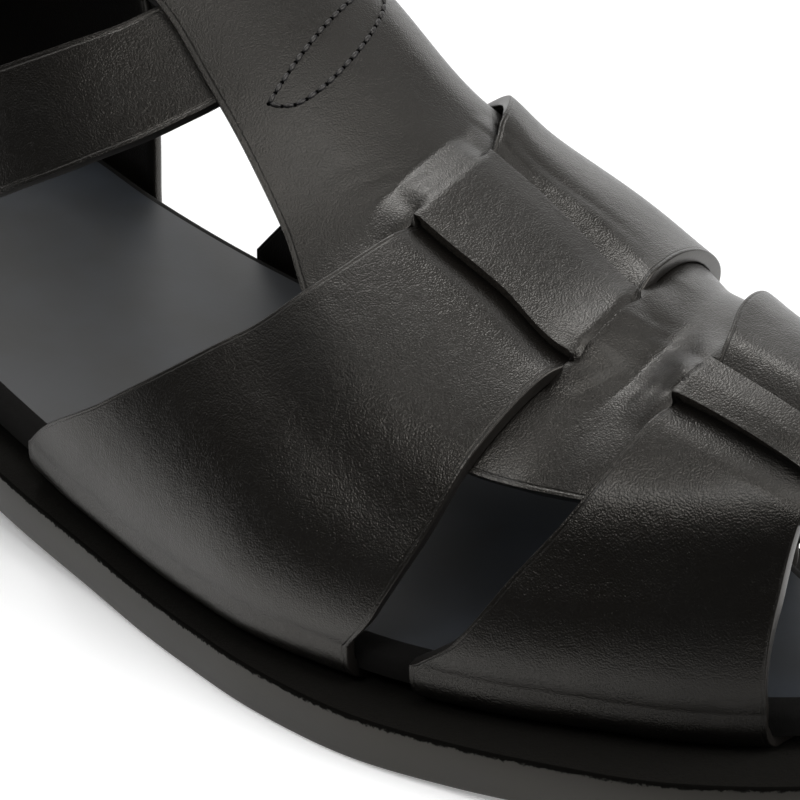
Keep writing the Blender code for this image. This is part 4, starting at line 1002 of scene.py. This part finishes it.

# %% [markdown]
# ## Stitching
# A half-moon of plain stitching fixes the turned-over end of the spine. Each stitch is a short rounded length
# of thread whose ends dive into needle holes, so each is one stretched sphere. At every hole sits a small
# flat
# bead of matte black: painted shade for the dark inside the hole.

# %% Stitches
# The distance between two holes, the thread's thickness and height over the leather, and a hole's radius.
STITCH = 2.1
THREAD_THICK = 0.8
THREAD_HIGH = 0.08
HOLE = 0.36
# The hole beads are matte black with no gloss: painted shade for the inside of a needle hole.
NEEDLE_HOLE_SHADE, _, hole_shade_shader = new_material("needle_hole_painted_shade", 1.0)
hole_shade_shader.inputs["Base Color"].default_value = srgb("#040404")
hole_shade_shader.inputs["Specular IOR Level"].default_value = 0.0


def even_points(points, step):
    """Points at an even distance along a polyline, as near to the step as fits."""
    points = np.asarray(points, float)
    length = np.r_[0, np.cumsum(np.linalg.norm(np.diff(points, axis=0), axis=1))]
    count = max(int(round(length[-1] / step)), 1)
    at = np.linspace(0, length[-1], count + 1)
    return np.column_stack([np.interp(at, length, points[:, k]) for k in range(3)])


def add_bead(bm, size, turn, place, segments, rings, material_index):
    """A sphere with half-axes in millimetres, turned and put in place."""
    made = bmesh.ops.create_uvsphere(bm, u_segments=segments, v_segments=rings, radius=1.0)
    move = turn.to_matrix().to_4x4()
    move.translation = place
    half = Vector(size) * 0.001
    for vert in made["verts"]:
        vert.co = move @ Vector((vert.co.x * half.x, vert.co.y * half.y, vert.co.z * half.z))
    for face in {f for vert in made["verts"] for f in vert.link_faces}:
        face.material_index = material_index


def stitch_row(name, points, normals_at):
    """One object for a row of stitches through the points, each lying along the surface."""
    holes = even_points(points, STITCH)
    bm = bmesh.new()
    for a, b in zip(holes, holes[1:]):
        normal = Vector(normals_at((a + b) / 2).tolist())
        along = Vector((b - a).tolist())
        size = (0.44 * along.length, THREAD_THICK / 2, THREAD_THICK / 2)
        place = metres((a + b) / 2) + normal * (THREAD_HIGH * 0.001)
        add_bead(bm, size, along.to_track_quat("X", "Z"), place, 12, 8, 0)
    for hole in holes:
        # A flat black bead on each hole is painted shade, where the hole's inside would be dark.
        normal = Vector(normals_at(hole).tolist())
        add_bead(bm, (HOLE, HOLE, 0.35 * HOLE), normal.to_track_quat("Z", "Y"), metres(hole), 10, 6, 1)
    print(name, len(holes) - 1, "stitches")
    return keep_piece(to_object(bm, name, (THREAD, NEEDLE_HOLE_SHADE)), slot="strap_leather")


# %% Half-moon on the spine
# Millimetres per unit of girth, near enough for finding the nearest points.
GIRTH_SCALE = 140.0
spine_top = on_last(spine_x, spine_v, height + LEATHER / 2).reshape(-1, 3)
spine_flat = np.column_stack([spine_x.ravel(), spine_v.ravel() * GIRTH_SCALE])


def on_spine(x, v):
    """A point on the spine strap's upper face."""
    far = np.hypot(spine_flat[:, 0] - x, spine_flat[:, 1] - v * GIRTH_SCALE)
    near = np.argsort(far)[:6]
    above = np.average(height.ravel()[near], weights=1 / (far[near] + 0.1))
    return on_last(x, v, above + LEATHER / 2)


def spine_normal(point):
    """The direction out of the spine strap at a point on it."""
    near = np.argmin(np.linalg.norm(spine_top - point, axis=1))
    x, v = spine_x.ravel()[near], spine_v.ravel()[near]
    side = on_spine(x, v + 0.012) - on_spine(x, v - 0.012)
    ahead = on_spine(x + 1.5, v) - on_spine(x - 1.5, v)
    out = np.cross(ahead, side)
    return out / np.linalg.norm(out)


# The half-moon's two corners, as station and girth, and how far it bulges forward of the line between them.
MOON_OUTER = (156.0, 0.376)
MOON_INNER = (148.5, 0.528)
MOON_BULGE = 6.2
MOON_STEPS = 20


def moon_point(share, bulge):
    """A point on the spine, bulge millimetres forward of a share of the line between the corners."""
    x = MOON_OUTER[0] + (MOON_INNER[0] - MOON_OUTER[0]) * share + bulge
    return on_spine(x, MOON_OUTER[1] + (MOON_INNER[1] - MOON_OUTER[1]) * share)


moon = [moon_point(k / MOON_STEPS, 0.0) for k in range(MOON_STEPS + 1)]
for k in range(MOON_STEPS + 1):
    share = 1 - k / MOON_STEPS
    moon.append(moon_point(share, MOON_BULGE * math.sqrt(max(1 - (2 * share - 1)**2, 0.0))))
stitch_row("half_moon_stitches", moon, spine_normal)

# %% [markdown]
# The ankle strap's inner end is sewn flat to the counter with a small box of stitches, which follows the
# strap's own centre line, as distance along it and across it.

# %% Stitched box
BOX_STEPS = 12


def box_seam(name, s_from, s_to, half_width, off):
    """A box of stitches between two distances along the ankle line, on the face off above the last."""
    corners = [(s_from, -half_width), (s_from, half_width), (s_to, half_width), (s_to, -half_width)]
    places = []
    for (s0, w0), (s1, w1) in zip(corners, corners[1:] + corners[:1]):
        for k in range(BOX_STEPS):
            places.append((s0 + (s1 - s0) * k / BOX_STEPS, w0 + (w1 - w0) * k / BOX_STEPS))
    places.append(corners[0])
    seam = np.array([ribbon(s, w, off) for s, w in places])
    out = np.array([ribbon(s, w, off + 1.0) for s, w in places]) - seam
    return stitch_row(name, seam, lambda point: out[np.argmin(np.linalg.norm(seam - point, axis=1))])


box_seam("strap_end_stitches", FULL - 13.5, FULL - 23.0, 7.4, ANKLE_OFF + ANKLE)

# %% [markdown]
# ## Floor, light and background
# The sandal stands on a white sweep. Black leather shows only what it reflects, so the light is a set of
# small soft boxes: each puts one highlight on a strap and leaves the rest of it deep. Most hang level over
# the sandal and a few are aimed. The camera sees an even white floor. Reflections see it fall off past the
# sandal's outer side, as if the room were dark there, so the floor glows low in a strap and its middle stays
# deep.

# %% Floor
FLOOR_WHITE = 0.92
# Light that the sweep gives by itself, as a photographer's lit table does.
FLOOR_FILL = 0.20
# Where reflections see the floor fall off, and in which direction.
PATCH_FROM = metres((230.0, -45.0, 0.0))
PATCH_DIRECTION = Vector((0.6, -0.8, 0.0))
floor_bm = bmesh.new()
bmesh.ops.create_grid(floor_bm, x_segments=8, y_segments=8, size=4.0)
sweep, tree, shader = new_material("white_sweep", 0.9)
floor = to_object(floor_bm, "floor", (sweep,))
coords = node(tree, "ShaderNodeTexCoord").outputs["Object"]
from_patch = node(tree, "ShaderNodeVectorMath", {"operation": "SUBTRACT"}, {0: coords},
                  {1: PATCH_FROM}).outputs["Vector"]
out_of_patch = node(tree, "ShaderNodeVectorMath", {"operation": "DOT_PRODUCT"}, {0: from_patch},
                    {1: PATCH_DIRECTION}).outputs["Value"]
patch = ramp(tree, out_of_patch, 0.005, 0.055, FLOOR_WHITE, 0.02)
camera_sees = node(tree, "ShaderNodeLightPath").outputs["Is Camera Ray"]
albedo = node(tree, "ShaderNodeMix", {"data_type": "FLOAT"}, {"Factor": camera_sees, "A": patch},
              {"B": FLOOR_WHITE}).outputs["Result"]
bounce_fill = node(tree, "ShaderNodeMath", {"operation": "MULTIPLY"}, {0: patch},
                   {1: FLOOR_FILL}).outputs["Value"]
seen_fill = ramp(tree, out_of_patch, -0.12, 0.06, FLOOR_FILL - 0.06, FLOOR_FILL + 0.15)
fill = node(tree, "ShaderNodeMix", {"data_type": "FLOAT"},
            {"Factor": camera_sees, "A": bounce_fill, "B": seen_fill}).outputs["Result"]
grey = node(tree, "ShaderNodeCombineColor", links={"Red": albedo, "Green": albedo, "Blue": albedo})
tree.links.new(grey.outputs["Color"], shader.inputs["Base Color"])
tree.links.new(fill, shader.inputs["Emission Strength"])
shader.inputs["Emission Color"].default_value = (1.0, 1.0, 1.0, 1.0)
shader.inputs["Specular IOR Level"].default_value = 0.0
bpy.context.scene.collection.objects.link(floor)
print("floor", FLOOR_WHITE)

# %% Light
world = bpy.data.worlds.new("studio")
bpy.context.scene.world = world
world.use_nodes = True
sky = world.node_tree
background = sky.nodes["Background"]
seen = node(sky, "ShaderNodeLightPath").outputs["Is Camera Ray"]
amount = node(sky, "ShaderNodeMix", {"data_type": "FLOAT"}, {"Factor": seen}, {"A": 0.02, "B": 0.98})
sky.links.new(amount.outputs["Result"], background.inputs["Strength"])
background.inputs["Color"].default_value = (1.0, 1.0, 1.0, 1.0)


def soft_light(name, place, size, brightness, aim=None):
    """A rectangular soft box at a place in stations; it hangs level unless it is aimed.

    Size is in metres, and brightness is against a white sheet of 1."""
    lamp = bpy.data.lights.new(name, "AREA")
    lamp.shape = "RECTANGLE"
    lamp.size = size[0]
    lamp.size_y = size[1]
    lamp.energy = brightness * math.pi * size[0] * size[1]
    obj = bpy.data.objects.new(name, lamp)
    obj.location = metres(place)
    if aim:
        obj.rotation_euler = (metres(aim) - metres(place)).to_track_quat("-Z", "Y").to_euler()
    bpy.context.scene.collection.objects.link(obj)
    return obj


# Level boxes over the sandal, from the heel's outer side round to the toe.
soft_light("heel_box", (-120, -120, 450), (0.18, 0.18), 1.5)
soft_light("instep_box", (-160, 80, 450), (0.18, 0.18), 11.0)
soft_light("middle_box", (160, -60, 450), (0.18, 0.18), 0.95)
soft_light("toe_box", (320, -90, 450), (0.18, 0.18), 3.5)
soft_light("far_heel_box", (-220, 330, 450), (0.30, 0.30), 0.9)
soft_light("far_middle_box", (50, 330, 450), (0.30, 0.25), 1.05)
soft_light("far_toe_box", (330, 150, 450), (0.30, 0.30), 0.85)
# Aimed boxes: a wide one low at the back, a strong one past the toe and a small one over the camera.
soft_light("back_box", (-100, 600, 250), (0.80, 0.40), 1.6, aim=(150, 0, 40))
soft_light("heel_side_box", (-350, -200, 350), (0.30, 0.30), 0.9, aim=(150, -20, 40))
soft_light("near_toe_box", (225, -195, 220), (0.08, 0.08), 8.0, aim=(258, -20, 50))
soft_light("toe_side_box", (600, 150, 300), (0.40, 0.40), 4.3, aim=(200, 0, 40))
soft_light("front_box", (430, -420, 500), (0.15, 0.15), 2.5, aim=(230, -20, 40))
bpy.context.scene.view_settings.view_transform = "Standard"
print("soft boxes", len(bpy.data.lights))
